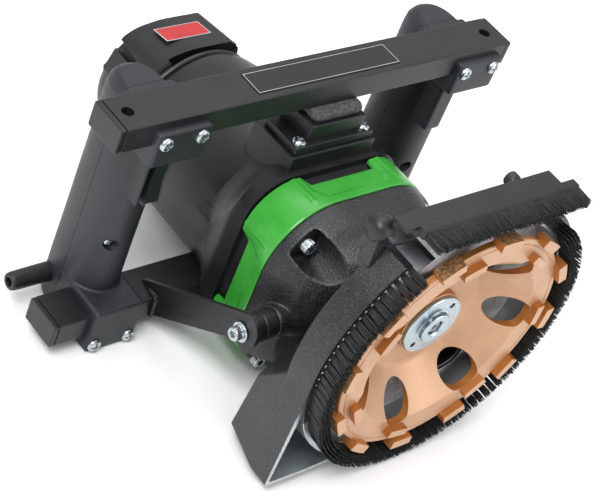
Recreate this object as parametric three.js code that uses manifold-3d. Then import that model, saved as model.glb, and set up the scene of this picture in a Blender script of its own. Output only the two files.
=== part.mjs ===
// Two-handed concrete grinder: a handle frame of two steel tubes and two moulded grips carries an
// offset-geared motor, a dust hood with brushes and a 250 mm diamond cup wheel.
// X is the machine's right, Y points back along the spindle (the wheel faces -Y), Z is up.
import * as THREE from 'three';
import { mergeVertices } from 'three/addons/utils/BufferGeometryUtils.js';
import Module from 'manifold-3d';

const wasm = await Module();
wasm.setup();

// ---- Driving dimensions, in millimetres. "front" is a distance forward of the gearbox joint. ----
const GAP = 0.3;                       // clearance between pieces that touch
const MOTOR_DROP = 48;                 // motor axis below the spindle axis
const REST_DROP = 146;                 // spindle axis above the surface the machine lies on

const TUBE = { depth: 40, height: 25, wall: 2.5, left: -239, right: 216, middle: -116.5 };
const UPPER_TOP = 117.5;               // top face of the upper tube
const LOWER_TOP = -107;                // top face of the lower tube
const CAP_FLANGE = 6;                  // thickness of a tube cap outside the tube

const GRIP = { offset: 175, halfWidth: 25, halfDepth: 37, middle: -150, wall: 3.5 };
const CLAMP = { front: -89.5, halfWidth: 28, upperLow: 73, upperHigh: 109, lowerHigh: -98 };
const CLAMP_SCREW = { offset: 18.6, upper: 98.5, lower: -137.5, head: 6, reach: 2.8 };

const RING = { back: -67, front: -26, halfBack: 90, halfFront: 96, cornerBack: 45, cornerFront: 65, wall: 4 };
const FLANGE = { back: -78, front: -69, half: 90, corner: 41 };
const BOLT_SQUARE = { x: 70, up: 68, down: -74, seat: -13 };

const ARM = { inner: 125, thick: 5, boltHeight: -48, boltFront: 6.5, width: 28 };
const WHEEL = { radius: 125, plate: 120.5, rim: 117.5, tips: 125, floor: 88, thick: 6, bore: 7.3 };
const SEGMENT = { length: 25, width: 8.5, outerCount: 12, outerTurn: 0.92, innerCount: 7, innerTurn: 0.05,
  innerRadius: 103 };
const HOLES = { count: 7, radius: 81, size: 17, start: 1 };
const HOOD = { outer: 146, wall: 5, back: 76, front: 106, lipInner: 126.5, lipOuter: 129, cut: 110 };
const NECK_FRONT = HOOD.back + 3.4;     // the gearbox neck carries the hood round it
const CHUTE = { left: -146, bottom: -136, right: -62, top: 10, deep: 36, wall: 4 };
const PORT = { x: 70, z: -76, outer: 20, bore: 17, end: 37, hole: 23, collar: 27, collarThick: 5 };
const BRUSH = { inner: 129.4, outer: 140.6, tipOuter: 143.3, root: 84, tips: 124.5 };
const FLAP = { left: -103, right: 80, top: 144.5, thick: 3.5, back: 78, front: 96, foot: 113 };
const PIVOT = { height: 128, front: 75.5, knuckle: 5, stud: 2.5, hole: 2.55, reach: 14 };
const LUG = { outerLeft: -113, outerRight: 90, foot: 95, radius: 6 };
const KNOB = { x: 56, radius: 7, end: 60 };
const BOLT = { shank: 4, hole: 4.3, head: 6.6, tall: 8, socket: 3.2 };
const SCREW = { shank: 2.3, hole: 2.6, sunk: 6 };
const CORD_EXIT = { height: -118, front: -168, radius: 9.5, end: -240 };
const TRIGGER = { x: -173, halfWidth: 8, low: 16, high: 66, front: -103, back: -121, travel: 6 };
const SPRING = { inner: 3, outer: 5, height: 41 };
const SWITCH = { low: 4, high: 58, back: -172, front: -141 };
const SPARE_BLOCK = { x: 166, halfWidth: 10 };
const PAD = { halfWidth: 50, top: 57, back: -132, front: -76 };
const DAMPER = { halfWidth: 30, back: -128, front: -76, base: 8, screw: 38 };
const MOTOR = { rear: -330, capJoint: -252, boreRear: 68, boreFront: 80, boreWaist: 50 };
const STRIP = { left: -91, right: 92, low: 138, high: 147, root: 96.3, seat: 105 };
const TEETH = { pinion: 11, wheel: 40, back: -18, front: -2 };
const MODULE = 2 * MOTOR_DROP / (TEETH.pinion + TEETH.wheel);

// ---- Colours ----
const paint = (color, roughness, metalness) => ({ color, roughness, metalness });
const BLACK_PAINT = paint('#26282b', 0.55, 0.2);
const BLACK_PLASTIC = paint('#2e3236', 0.6, 0);
const CAST_BLACK = paint('#232528', 0.7, 0.2);
const GREEN = paint('#3fae3c', 0.3, 0);
const ZINC = paint('#c9ced2', 0.3, 1);
const STEEL = paint('#9a9da0', 0.35, 1);
const COPPER_PAINT = paint('#c98a52', 0.45, 0.3);
const BRISTLE = paint('#1b1b1c', 0.8, 0);
const RUBBER = paint('#3a3b3c', 0.9, 0);
const CARBON = paint('#2b2b2b', 0.8, 0);

// ---- Solids: outlines lie across the machine (x, z) and are pushed forward along the spindle ----
function toSolid(geometry) {
  const bare = geometry.clone();
  bare.deleteAttribute('normal');
  bare.deleteAttribute('uv');
  const merged = mergeVertices(bare, 1e-4);
  return new wasm.Manifold(new wasm.Mesh({
    numProp: 3,
    vertProperties: new Float32Array(merged.attributes.position.array),
    triVerts: new Uint32Array(merged.index.array),
  }));
}

function fromSolid(solid) {
  const mesh = solid.getMesh();
  const geometry = new THREE.BufferGeometry();
  geometry.setAttribute('position', new THREE.BufferAttribute(new Float32Array(mesh.vertProperties), 3));
  geometry.setIndex(new THREE.BufferAttribute(new Uint32Array(mesh.triVerts), 1));
  return geometry;
}

function cut(base, ...tools) {
  return fromSolid(tools.reduce((solid, tool) => solid.subtract(toSolid(tool)), toSolid(base)));
}

function join(base, ...others) {
  return fromSolid(others.reduce((solid, other) => solid.add(toSolid(other)), toSolid(base)));
}

function block(x0, x1, z0, z1, front0, front1) {
  const geometry = new THREE.BoxGeometry(x1 - x0, front1 - front0, z1 - z0);
  return geometry.translate((x0 + x1) / 2, -(front0 + front1) / 2, (z0 + z1) / 2);
}

function rod(x, z, radius, front0, front1, sides = 20) {
  const geometry = new THREE.CylinderGeometry(radius, radius, front1 - front0, sides);
  return geometry.translate(x, -(front0 + front1) / 2, z);
}

function crossRod(x0, x1, z, front, radius, sides = 16) {
  const geometry = new THREE.CylinderGeometry(radius, radius, x1 - x0, sides);
  return geometry.rotateZ(Math.PI / 2).translate((x0 + x1) / 2, -front, z);
}

function uprightRod(x, front, radius, z0, z1, sides = 16) {
  const geometry = new THREE.CylinderGeometry(radius, radius, z1 - z0, sides);
  return geometry.rotateX(Math.PI / 2).translate(x, -front, (z0 + z1) / 2);
}

// A closed ring or disc turned about a line along the spindle; points are [radius, front], in either order.
function turned(points, z = 0, sides = 32) {
  const profile = points.map(([r, f]) => new THREE.Vector2(r, -f));
  if (THREE.ShapeUtils.area(profile) < 0) profile.reverse();
  return new THREE.LatheGeometry(profile, sides).translate(0, 0, z);
}

function washer(inner, outer, front0, front1, z = 0, sides = 24) {
  return turned([[inner, front1], [inner, front0], [outer, front0], [outer, front1], [inner, front1]],
    z, sides);
}

function slab(shape, front0, front1, curveSegments = 8) {
  const settings = { depth: front1 - front0, bevelEnabled: false, curveSegments };
  return new THREE.ExtrudeGeometry(shape, settings).rotateX(Math.PI / 2).translate(0, -front0, 0);
}

function outline(points) {
  return new THREE.Shape(points.map(([x, z]) => new THREE.Vector2(x, z)));
}

// Points of a square with round corners about (0, middle), all the way round.
function roundSquare(half, corner, middle = -MOTOR_DROP, steps = 5) {
  const points = [];
  const quarter = [[1, 1], [-1, 1], [-1, -1], [1, -1]];
  quarter.forEach(([sx, sz], side) => {
    for (let step = 0; step <= steps; step += 1) {
      const angle = (side + step / steps) * Math.PI / 2;
      points.push([
        sx * (half - corner) + corner * Math.cos(angle),
        middle + sz * (half - corner) + corner * Math.sin(angle),
      ]);
    }
  });
  return points;
}

function ellipse(x, halfWidth, front, halfDepth, count = 24) {
  return Array.from({ length: count }, (_, i) => {
    const angle = 2 * Math.PI * i / count;
    return [x + halfWidth * Math.cos(angle), front + halfDepth * Math.sin(angle)];
  });
}

// Skin through rings of equal count. Each ring is a list of [x, y, z]; both ends are closed by fans.
function loft(rings) {
  const count = rings[0].length;
  const positions = rings.flat(2);
  const index = [];
  for (let r = 0; r + 1 < rings.length; r += 1) {
    for (let i = 0; i < count; i += 1) {
      const a = r * count + i;
      const b = r * count + (i + 1) % count;
      index.push(a, b, b + count, a, b + count, a + count);
    }
  }
  [0, rings.length - 1].forEach((r, end) => {
    const middle = positions.length / 3;
    const sum = rings[r].reduce((t, p) => t.map((v, k) => v + p[k] / count), [0, 0, 0]);
    positions.push(...sum);
    for (let i = 0; i < count; i += 1) {
      const a = r * count + i;
      const b = r * count + (i + 1) % count;
      index.push(...(end === 0 ? [middle, b, a] : [middle, a, b]));
    }
  });
  const geometry = new THREE.BufferGeometry();
  geometry.setAttribute('position', new THREE.Float32BufferAttribute(positions, 3));
  geometry.setIndex(index);
  return geometry;
}

// Rings across the machine run forward, rings across a grip run upward.
const ringAt = (points, front) => points.map(([x, z]) => [x, -front, z]);
const ringUp = (points, z) => points.map(([x, front]) => [x, -front, z]);
const forwardLoft = (...rings) => loft(rings);
const upwardLoft = (...rings) => loft(rings.map((ring) => [...ring].reverse()));

const machine = new THREE.Group();

function add(name, geometry, look) {
  const mesh = new THREE.Mesh(geometry, new THREE.MeshStandardMaterial(look));
  mesh.name = name;
  machine.add(mesh);
}

// ---- Handle frame ----
function tube(top) {
  const { depth, height, wall, left, right, middle } = TUBE;
  const back = middle - depth / 2;
  const front = middle + depth / 2;
  const outer = block(left + CAP_FLANGE, right - CAP_FLANGE, top - height, top, back, front);
  const inner = block(left, right, top - height + wall, top - wall, back + wall, front - wall);
  return cut(outer, inner);
}

function tubeCap(top, side) {
  const { depth, height, wall, left, right, middle } = TUBE;
  const end = side < 0 ? left : right;
  const face = end - side * (CAP_FLANGE - GAP);
  const span = (a, b) => [Math.min(a, b), Math.max(a, b)];
  const flange = block(...span(end, face), top - height, top, middle - depth / 2, middle + depth / 2);
  const slack = wall + GAP;
  const plug = block(...span(face + side, face - side * 14), top - height + slack, top - slack,
    middle - depth / 2 + slack, middle + depth / 2 - slack);
  return join(flange, plug);
}

function upperTube() {
  const holes = [TUBE.left + 19, TUBE.right - 19].map((x) =>
    uprightRod(x, TUBE.middle, 6, UPPER_TOP - 5, UPPER_TOP + 5, 16));
  return cut(tube(UPPER_TOP), ...holes);
}

// Flat bar standing across x, from the lower tube's front corner up to the gearbox side bolt.
function arm(side) {
  const { inner, thick, boltHeight, boltFront } = ARM;
  const tubeFront = TUBE.middle + TUBE.depth / 2 + GAP;
  const tubeTop = LOWER_TOP + GAP;
  const points = [
    [tubeFront, -128], [tubeFront, tubeTop], [tubeFront - 24, tubeTop], [tubeFront - 24, tubeTop + 3],
    [boltFront + 2, boltHeight + 22], [boltFront + 14, boltHeight + 18], [boltFront + 18, boltHeight + 10],
    [boltFront + 18, boltHeight - 2], [boltFront - 8, boltHeight - 16],
  ].reverse();
  const shape = outline(points);
  const bar = new THREE.ExtrudeGeometry(shape, { depth: thick, bevelEnabled: false });
  const ahead = new THREE.Vector3(0, -1, 0);
  const upward = new THREE.Vector3(0, 0, 1);
  const leftward = new THREE.Vector3(-1, 0, 0);
  bar.applyMatrix4(new THREE.Matrix4().makeBasis(ahead, upward, leftward));
  bar.translate(side < 0 ? -inner : inner + thick, 0, 0);
  const reach = side * (inner + thick / 2);
  return cut(bar, crossRod(reach - 10, reach + 10, boltHeight, boltFront, BOLT.hole, 16));
}

// ---- Grips ----
function gripColumn(x, grow, z0, z1, crown) {
  const { halfWidth, halfDepth, middle } = GRIP;
  const ring = (scale, z) =>
    ringUp(ellipse(x, (halfWidth + grow) * scale, middle, (halfDepth + grow) * scale), z);
  const rings = [ring(1, z0), ring(1, z1)];
  if (crown) rings.push(ring(0.9, z1 + crown * 0.65), ring(0.66, z1 + crown));
  return upwardLoft(...rings);
}

function gripHalf(side, isFront) {
  const x = side * GRIP.offset;
  const { middle, wall } = GRIP;
  const { front, halfWidth, upperLow, upperHigh, lowerHigh } = CLAMP;
  const far = 200;
  let solid = toSolid(gripColumn(x, 0, -REST_DROP, 88, 22));
  if (isFront) {
    const upper = block(x - halfWidth, x + halfWidth, upperLow, upperHigh, middle, front);
    const lower = block(x - halfWidth + 2, x + halfWidth - 2, -REST_DROP, lowerHigh, middle, front);
    solid = solid.add(toSolid(upper)).add(toSolid(lower));
    solid = solid.subtract(toSolid(block(x - 60, x + 60, -far, far, middle - far, middle + GAP / 2)));
  } else {
    solid = solid.subtract(toSolid(block(x - 60, x + 60, -far, far, middle - GAP / 2, middle + far)));
  }
  const hollow = gripColumn(x, -wall, -92, 66, 0);
  const back = TUBE.middle - TUBE.depth / 2 - GAP;
  const tubeFront = TUBE.middle + TUBE.depth / 2 + GAP;
  const upperSlot = block(x - 60, x + 60, UPPER_TOP - TUBE.height - GAP, far, back, tubeFront);
  const lowerSlot = block(x - 60, x + 60, LOWER_TOP - TUBE.height - GAP, LOWER_TOP + GAP, back, tubeFront);
  const screwHoles = [-1, 1].flatMap((step) => [CLAMP_SCREW.upper, CLAMP_SCREW.lower].map((z) =>
    rod(x + step * CLAMP_SCREW.offset, z, SCREW.hole, tubeFront - 1, front + 2, 12)));
  for (const tool of [hollow, upperSlot, lowerSlot, ...screwHoles]) {
    solid = solid.subtract(toSolid(tool));
  }
  return solid;
}

function leftFrontHalf() {
  const { x, halfWidth, low, high, front } = TRIGGER;
  const slack = 0.6;
  const window = block(x - halfWidth - slack, x + halfWidth + slack, low - slack, high + slack, -140, -90);
  const guard = block(x - halfWidth - 6, x - halfWidth - 2.5, low - 2, CLAMP.upperLow + 2, -119, front - 2);
  const solid = gripHalf(-1, true).add(toSolid(guard)).subtract(toSolid(window));
  return fromSolid(solid);
}

function rightFrontHalf() {
  const { x, halfWidth } = SPARE_BLOCK;
  const { low, front } = TRIGGER;
  const spare = block(x - halfWidth, x + halfWidth, low, CLAMP.upperLow + 2, -119, front);
  return fromSolid(gripHalf(1, true).add(toSolid(spare)));
}

function leftRearHalf() {
  const { height, front, radius } = CORD_EXIT;
  const exit = crossRod(-GRIP.offset - 40, -GRIP.offset - 10, height, front, radius);
  return fromSolid(gripHalf(-1, false).subtract(toSolid(exit)));
}

// The sleeve that protects the cable where it leaves the left grip.
function cordSleeve() {
  const { height, front, radius, end } = CORD_EXIT;
  const length = -(GRIP.offset + 12) - end;
  const body = new THREE.CylinderGeometry(radius - GAP, radius - 0.5, length, 20);
  body.rotateZ(Math.PI / 2).translate(end + length / 2, -front, height);
  return cut(body, crossRod(end - 5, end + length + 5, height, front, 4.5, 12));
}

function trigger() {
  const { x, halfWidth, low, high, front, back, travel } = TRIGGER;
  const springPocket = rod(x, SPRING.height, SPRING.outer + 1, back - 1, back + travel + 2, 16);
  return cut(block(x - halfWidth, x + halfWidth, low, high, back, front), springPocket);
}

function switchBody() {
  return block(TRIGGER.x - 10, TRIGGER.x + 10, SWITCH.low, SWITCH.high, SWITCH.back, SWITCH.front);
}

function triggerSpring() {
  return washer(SPRING.inner, SPRING.outer, SWITCH.front + GAP, TRIGGER.back + 1.7, SPRING.height, 16)
    .translate(TRIGGER.x, 0, 0);
}

// Pan head on the clamp's front face, with its shank in the clamp's wall.
function clampScrew(x, z) {
  const { head, reach } = CLAMP_SCREW;
  const seat = CLAMP.front + GAP;
  return turned([[0, seat + reach], [head * 0.6, seat + reach], [head, seat + 1], [head, seat],
    [SCREW.shank, seat], [SCREW.shank, seat - SCREW.sunk], [0, seat - SCREW.sunk]], z, 12).translate(x, 0, 0);
}

// ---- Upper mount between the frame and the motor ----

// Rubber cushion bonded to its foot plate.
function damper() {
  const top = UPPER_TOP - TUBE.height - GAP;
  const footTop = PAD.top + DAMPER.base;
  const foot = block(-PAD.halfWidth + 4, PAD.halfWidth - 4, PAD.top + GAP, footTop,
    PAD.back + 8, PAD.front - 3);
  const cushion = block(-DAMPER.halfWidth, DAMPER.halfWidth, footTop - 1, top,
    DAMPER.back + 4, DAMPER.front - 8);
  const holes = [-1, 1].map((side) =>
    uprightRod(side * DAMPER.screw, DAMPER.front - 11, 3.3, PAD.top - 5, footTop + 5, 16));
  return cut(join(foot, cushion), ...holes);
}

function padScrew(side) {
  const base = PAD.top + DAMPER.base + GAP;
  const x = side * DAMPER.screw;
  const front = DAMPER.front - 11;
  return join(uprightRod(x, front, 6, base, base + 4), uprightRod(x, front, 3, base - 7, base + 1, 16));
}

// ---- Motor ----

function motorHousing() {
  const { capJoint } = MOTOR;
  const skin = turned([[0, capJoint], [74, capJoint], [84, -212], [86, -110], [88, -80], [0, -80]],
    -MOTOR_DROP, 40);
  const flange = slab(outline(roundSquare(FLANGE.half, FLANGE.corner)), FLANGE.back - 4, FLANGE.front);
  const pad = block(-PAD.halfWidth, PAD.halfWidth, 20, PAD.top, PAD.back, PAD.front);
  const { boreRear, boreFront, boreWaist } = MOTOR;
  const bore = turned([[0, -300], [boreRear, -300], [boreRear, -215], [boreFront, -195], [boreFront, -144.2],
    [boreWaist, -144], [boreWaist, -90], [boreFront, -84], [boreFront, -60], [0, -60]], -MOTOR_DROP, 40);
  const reach = TUBE.depth / 2 + 4;
  const tubeRoom = block(-120, 120, -200, LOWER_TOP + 3, TUBE.middle - reach, TUBE.middle + reach);
  return cut(join(skin, flange, pad), bore, tubeRoom);
}

function rearCap() {
  const { rear, capJoint } = MOTOR;
  const joint = capJoint - GAP;
  const skin = turned([[0, rear], [50, rear], [64, rear + 7], [71, rear + 20], [72, -275], [73.5, joint],
    [0, joint]], -MOTOR_DROP, 40);
  const hollow = turned([[0, rear + 5], [56, rear + 6], [66, rear + 22], [68, joint + 1], [0, joint + 1]],
    -MOTOR_DROP, 40);
  const slots = Array.from({ length: 10 }, (_, i) => {
    const slot = new THREE.BoxGeometry(26, 20, 5).translate(36, 0, 0).rotateY(2 * Math.PI * i / 10);
    return slot.translate(0, -rear, -MOTOR_DROP);
  });
  return cut(skin, hollow, ...slots);
}

function bearingPlate() {
  const body = slab(outline(roundSquare(84, 44)), FLANGE.front + GAP, RING.front - GAP);
  const rim = slab(outline(roundSquare(77, 38)), FLANGE.front - 2, RING.front - 12);
  const recess = cut(rim, rod(0, -MOTOR_DROP, 26, -90, 0), rod(0, 0, 26, -90, 0));
  const motorSeat = rod(0, -MOTOR_DROP, 17.6, -90, 0, 28);
  const spindleSeat = rod(0, 0, 17.6, -37, 0, 28);
  return cut(body, recess, motorSeat, spindleSeat);
}

function greenRing() {
  const { back, front, halfBack, halfFront, cornerBack, cornerFront, wall } = RING;
  const outer = forwardLoft(ringAt(roundSquare(halfBack, cornerBack), back),
    ringAt(roundSquare(halfFront, cornerFront), front));
  const inner = forwardLoft(ringAt(roundSquare(halfBack - wall, cornerBack - wall), back - 0.5),
    ringAt(roundSquare(halfFront - wall, cornerFront - wall), front + 0.5));
  const notches = [];
  for (let side = 0; side < 4; side += 1) {
    const notch = block(-38, 38, 60, 120, back - 1, back + 8);
    notches.push(notch.rotateY(side * Math.PI / 2).translate(0, 0, -MOTOR_DROP));
  }
  return cut(outer, inner, ...notches);
}

// Shaft, laminated core, commutator and fan pressed together.
function armature() {
  const shaft = turned([[0, -318], [8, -318], [8, -272], [18, -272], [18, -248], [8, -248], [8, -236],
    [38, -236], [38, -164], [8, -164], [8, -46], [5, -46], [5, TEETH.front], [0, TEETH.front]],
    -MOTOR_DROP, 20);
  const disc = washer(6, 62, -148, -145, -MOTOR_DROP, 30);
  const blades = Array.from({ length: 9 }, (_, i) => {
    const blade = new THREE.BoxGeometry(36, 13, 2).translate(42, 153, 0);
    return blade.rotateY(2 * Math.PI * i / 9).translate(0, 0, -MOTOR_DROP);
  });
  return join(shaft, disc, ...blades);
}

// Straight-flanked teeth, cut thin so that the pair runs with plenty of backlash.
function toothed(count, back, front, phase, bore) {
  const pitch = MODULE * count / 2;
  const share = [[-0.31, -1.1], [-0.14, 0.7], [0.14, 0.7], [0.31, -1.1]];
  const points = [];
  for (let tooth = 0; tooth < count; tooth += 1) {
    for (const [turn, height] of share) {
      const angle = 2 * Math.PI * (tooth + turn + phase) / count;
      const radius = pitch + height * MODULE;
      points.push([radius * Math.cos(angle), radius * Math.sin(angle)]);
    }
  }
  return cut(slab(outline(points), back, front), rod(0, 0, bore, back - 5, front + 5, 20));
}

// ---- Gearbox ----
function gearHousing() {
  const seat = RING.front + GAP;
  const outer = forwardLoft(
    ringAt(roundSquare(95.5, 64.5), seat), ringAt(roundSquare(94, 63), -14),
    ringAt(roundSquare(84, 60, -44), 12), ringAt(roundSquare(60, 52, -20), 34),
    ringAt(roundSquare(45, 44.5, 0), 50), ringAt(roundSquare(42.8, 42.3, 0), HOOD.back - 4),
    ringAt(roundSquare(42.8, 42.3, 0), NECK_FRONT));
  const inner = forwardLoft(
    ringAt(roundSquare(84, 58), seat - 5), ringAt(roundSquare(72, 50, -40), 6),
    ringAt(roundSquare(46, 40, -14), 28), ringAt(roundSquare(22, 21.5, 0), 40));
  const pockets = [];
  for (const sx of [-1, 1]) {
    for (const height of [BOLT_SQUARE.up, BOLT_SQUARE.down]) {
      pockets.push(rod(sx * BOLT_SQUARE.x, height - MOTOR_DROP, 12, BOLT_SQUARE.seat, 60, 16));
    }
  }
  const bosses = [-1, 1].map((side) => sideRod(side, 60, 98, 15, 16));
  const boltHoles = [-1, 1].flatMap((side) => [BOLT_SQUARE.up, BOLT_SQUARE.down].map((height) =>
    rod(side * BOLT_SQUARE.x, height - MOTOR_DROP, BOLT.hole, -40, 0, 12)));
  const sideHoles = [-1, 1].map((side) => sideRod(side, 78, 110, BOLT.hole, 16));
  const frontSeat = rod(0, 0, 20.3, 38, 62, 28);
  const shaftHole = rod(0, 0, 12, 50, 90);
  const gearRoom = rod(0, 0, 40.2, -30, TEETH.front + 0.5, 32);
  const casting = join(cut(outer, ...pockets), ...bosses);
  return cut(casting, inner, gearRoom, frontSeat, shaftHole, ...boltHoles, ...sideHoles);
}

function housingBolt(x, z) {
  const seat = BOLT_SQUARE.seat + GAP;
  const head = rod(x, z, BOLT.head, seat, seat + BOLT.tall, 16);
  const shank = rod(x, z, BOLT.shank, seat - 12, seat + 1, 12);
  return cut(join(head, shank), rod(x, z, BOLT.socket, seat + 4, seat + BOLT.tall + 1, 6));
}

// A rod along x between two distances from the middle plane, on the given side.
function sideRod(side, near, far, radius, sides) {
  return crossRod(Math.min(side * near, side * far), Math.max(side * near, side * far),
    ARM.boltHeight, ARM.boltFront, radius, sides);
}

function armBolt(side) {
  const seat = ARM.inner + ARM.thick + GAP;
  const flatWasher = sideRod(side, seat, seat + 1.6, 9.5, 24);
  const head = sideRod(side, seat + 1, seat + 1.6 + BOLT.tall, BOLT.head, 20);
  const shank = sideRod(side, 82, seat + 1, BOLT.shank, 16);
  const socket = sideRod(side, seat + 5.5, seat + 12, BOLT.socket, 6);
  return cut(join(flatWasher, head, shank), socket);
}

function armBush(side) {
  const sleeve = sideRod(side, 98 + GAP, ARM.inner - GAP, 14, 24);
  return cut(sleeve, sideRod(side, 90, ARM.inner + 5, BOLT.hole, 16));
}

function spindle() {
  const collarBack = NECK_FRONT + GAP;
  const collarFront = WHEEL.floor - WHEEL.thick - GAP;
  return turned([[0, -34], [8.5, -34], [8.5, -19], [10, -19], [10, 40], [11, 40], [11, collarBack],
    [22, collarBack], [22, collarFront], [7, collarFront], [7, 97], [0, 97]], 0, 20);
}

// ---- Cup wheel ----
function cupWheel() {
  const { plate, rim, floor, thick, bore } = WHEEL;
  let solid = toSolid(turned([[bore, floor], [bore, floor - thick], [62, floor - thick], [96, rim - thick],
    [plate, rim - thick], [plate, rim], [94, rim], [60, floor], [bore, floor]], 0, 48));
  for (let i = 0; i < HOLES.count; i += 1) {
    const angle = 2 * Math.PI * i / HOLES.count + THREE.MathUtils.degToRad(HOLES.start);
    const x = HOLES.radius * Math.cos(angle);
    const z = HOLES.radius * Math.sin(angle);
    solid = solid.subtract(toSolid(rod(x, z, HOLES.size, 60, 140, 16)));
  }
  const outerRadius = WHEEL.radius - SEGMENT.width / 2 - 0.6;
  const rows = [
    { count: SEGMENT.outerCount, radius: outerRadius, turn: SEGMENT.outerTurn },
    { count: SEGMENT.innerCount, radius: SEGMENT.innerRadius, turn: SEGMENT.innerTurn },
  ];
  for (const { count, radius, turn } of rows) {
    for (let i = 0; i < count; i += 1) {
      const height = WHEEL.tips - rim + 1.5;
      const bar = new THREE.BoxGeometry(SEGMENT.width, height, SEGMENT.length);
      bar.translate(radius, -(WHEEL.tips - height / 2), 0);
      solid = solid.add(toSolid(bar.rotateY(2 * Math.PI * (i + turn) / count)));
    }
  }
  return fromSolid(solid);
}

function flangeNut() {
  const base = WHEEL.floor + GAP;
  const body = turned([[7.4, base], [31, base], [31, base + 4], [17, base + 5], [15, base + 9.5],
    [7.4, base + 9.5], [7.4, base]], 0, 32);
  const holes = [52, 232].map((degrees) => {
    const angle = THREE.MathUtils.degToRad(degrees);
    return rod(24 * Math.cos(angle), 24 * Math.sin(angle), 3.1, 60, 120, 12);
  });
  return cut(body, ...holes);
}

// ---- Dust hood ----
function hood() {
  const { outer, wall, back, front, lipInner, lipOuter, cut: level } = HOOD;
  const { left, bottom, right, top, deep } = CHUTE;
  const shell = washer(43 + GAP, outer, back, front, 0, 48);
  const channel = washer(lipOuter, outer - wall, back + 4, front + 5, 0, 48);
  const wheelRoom = turned([[0, front + 5], [0, back + 4], [lipInner, back + 4], [lipInner, front + 5],
    [0, front + 5]], 0, 48);
  const chuteOuter = forwardLoft(
    ringAt([[-100, top - 50], [-128, -70], [-136, bottom + 6], [-120, bottom + 1], [-70, bottom + 4]],
      deep),
    ringAt([[-100, top], [left + 2, top - 20], [left, bottom], [-100, bottom - 1], [right, bottom]], 84),
    ringAt([[-100, top], [left, top - 20], [left, bottom], [-100, bottom - 1], [right, bottom]], front));
  const pocket = forwardLoft(
    ringAt([[-104, -70], [-126, -80], [-131, bottom + 12], [-118, bottom + 8], [-90, bottom + 9]],
      deep + 5),
    ringAt([[-100, -30], [left + 6, -50], [left + 4, bottom + 4], [-100, bottom + 4],
      [right - 12, bottom + 5]], front + 1));
  const band = washer(lipOuter - 1, outer, back, front, 0, 48);
  const portHole = rod(PORT.x, PORT.z, PORT.hole, back - 6, back + 6, 24);
  const sandRelief = rod(-112, -112, 14, 60, back + 6, 16);
  const flat = block(-200, 200, level, 300, back - 1, front + 10);
  const lugs = [[LUG.outerLeft, FLAP.left - 1], [FLAP.right + 1, LUG.outerRight]].map(([x0, x1]) =>
    join(block(x0, x1, LUG.foot, PIVOT.height, PIVOT.front - LUG.radius, PIVOT.front + LUG.radius),
      crossRod(x0, x1, PIVOT.height, PIVOT.front, LUG.radius)));
  const studs = [[FLAP.left - 3, FLAP.left + 8], [FLAP.right - 8, FLAP.right + 4]].map(([x0, x1]) =>
    crossRod(x0, x1, PIVOT.height, PIVOT.front, PIVOT.stud, 16));
  let solid = toSolid(chuteOuter).subtract(toSolid(pocket)).add(toSolid(band)).add(toSolid(shell));
  for (const tool of [channel, wheelRoom, flat]) {
    solid = solid.subtract(toSolid(tool));
  }
  for (const piece of [...lugs, ...studs]) {
    solid = solid.add(toSolid(piece));
  }
  for (const tool of [wheelRoom, portHole, sandRelief]) {
    solid = solid.subtract(toSolid(tool));
  }
  return fromSolid(solid);
}

// Hose spigot, its collar bonded to the back of the hood's plate round a wider hole.
function dustPort() {
  const { x, z, outer, bore, end, collar, collarThick } = PORT;
  const seat = HOOD.back - GAP;
  return turned([[bore, end], [outer, end], [outer, seat - collarThick], [collar, seat - collarThick],
    [collar, seat], [outer, seat], [outer, HOOD.back + 4], [bore, HOOD.back + 4], [bore, end]], z, 24)
    .translate(x, 0, 0);
}

function brushRing() {
  const { inner, outer, tipOuter, root, tips } = BRUSH;
  const ring = turned([[inner, tips], [inner, root], [outer, root], [outer, HOOD.front], [tipOuter, tips],
    [inner, tips]], 0, 48);
  return cut(ring, block(-200, 200, HOOD.cut - 0.5, 300, 0, 200));
}

function flap() {
  const { left, right, top, thick, back, front, foot } = FLAP;
  const plate = block(left, right, top - thick, top, back, front);
  const leg = block(left, right, foot, top - thick + 1, back, back + thick);
  const knuckles = [[left, left + PIVOT.reach], [right - PIVOT.reach, right]].map(([x0, x1]) =>
    crossRod(x0, x1, PIVOT.height, PIVOT.front, PIVOT.knuckle));
  const holes = [[left - 1, left + 10], [right - 10, right + 1]].map(([x0, x1]) =>
    crossRod(x0, x1, PIVOT.height, PIVOT.front, PIVOT.hole, 16));
  const knob = rod(KNOB.x, PIVOT.height, KNOB.radius, KNOB.end, back + 1, 16);
  return cut(join(plate, leg, ...knuckles, knob), ...holes);
}

function stripHolder() {
  const { left, right, low, high, root, seat } = STRIP;
  return block(left, right, low, high, root, seat);
}

function stripBristles() {
  const { left, right, low, high, seat } = STRIP;
  return block(left + 1, right - 1, low + 1, high - 1, seat + GAP, BRUSH.tips);
}

// ---- Assembly ----
add('upper_tube', upperTube(), BLACK_PAINT);
add('lower_tube', tube(LOWER_TOP), BLACK_PAINT);
add('upper_cap_left', tubeCap(UPPER_TOP, -1), BLACK_PLASTIC);
add('upper_cap_right', tubeCap(UPPER_TOP, 1), BLACK_PLASTIC);
add('lower_cap_left', tubeCap(LOWER_TOP, -1), BLACK_PLASTIC);
add('lower_cap_right', tubeCap(LOWER_TOP, 1), BLACK_PLASTIC);
add('name_plate', block(-90, 74, UPPER_TOP + GAP, UPPER_TOP + 1, -130, -103), BLACK_PAINT);
add('arm_left', arm(-1), BLACK_PAINT);
add('arm_right', arm(1), BLACK_PAINT);
for (const [word, side] of [['left', -1], ['right', 1]]) {
  add(`arm_bolt_${word}`, armBolt(side), ZINC);
  add(`arm_bush_${word}`, armBush(side), RUBBER);
}

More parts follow.
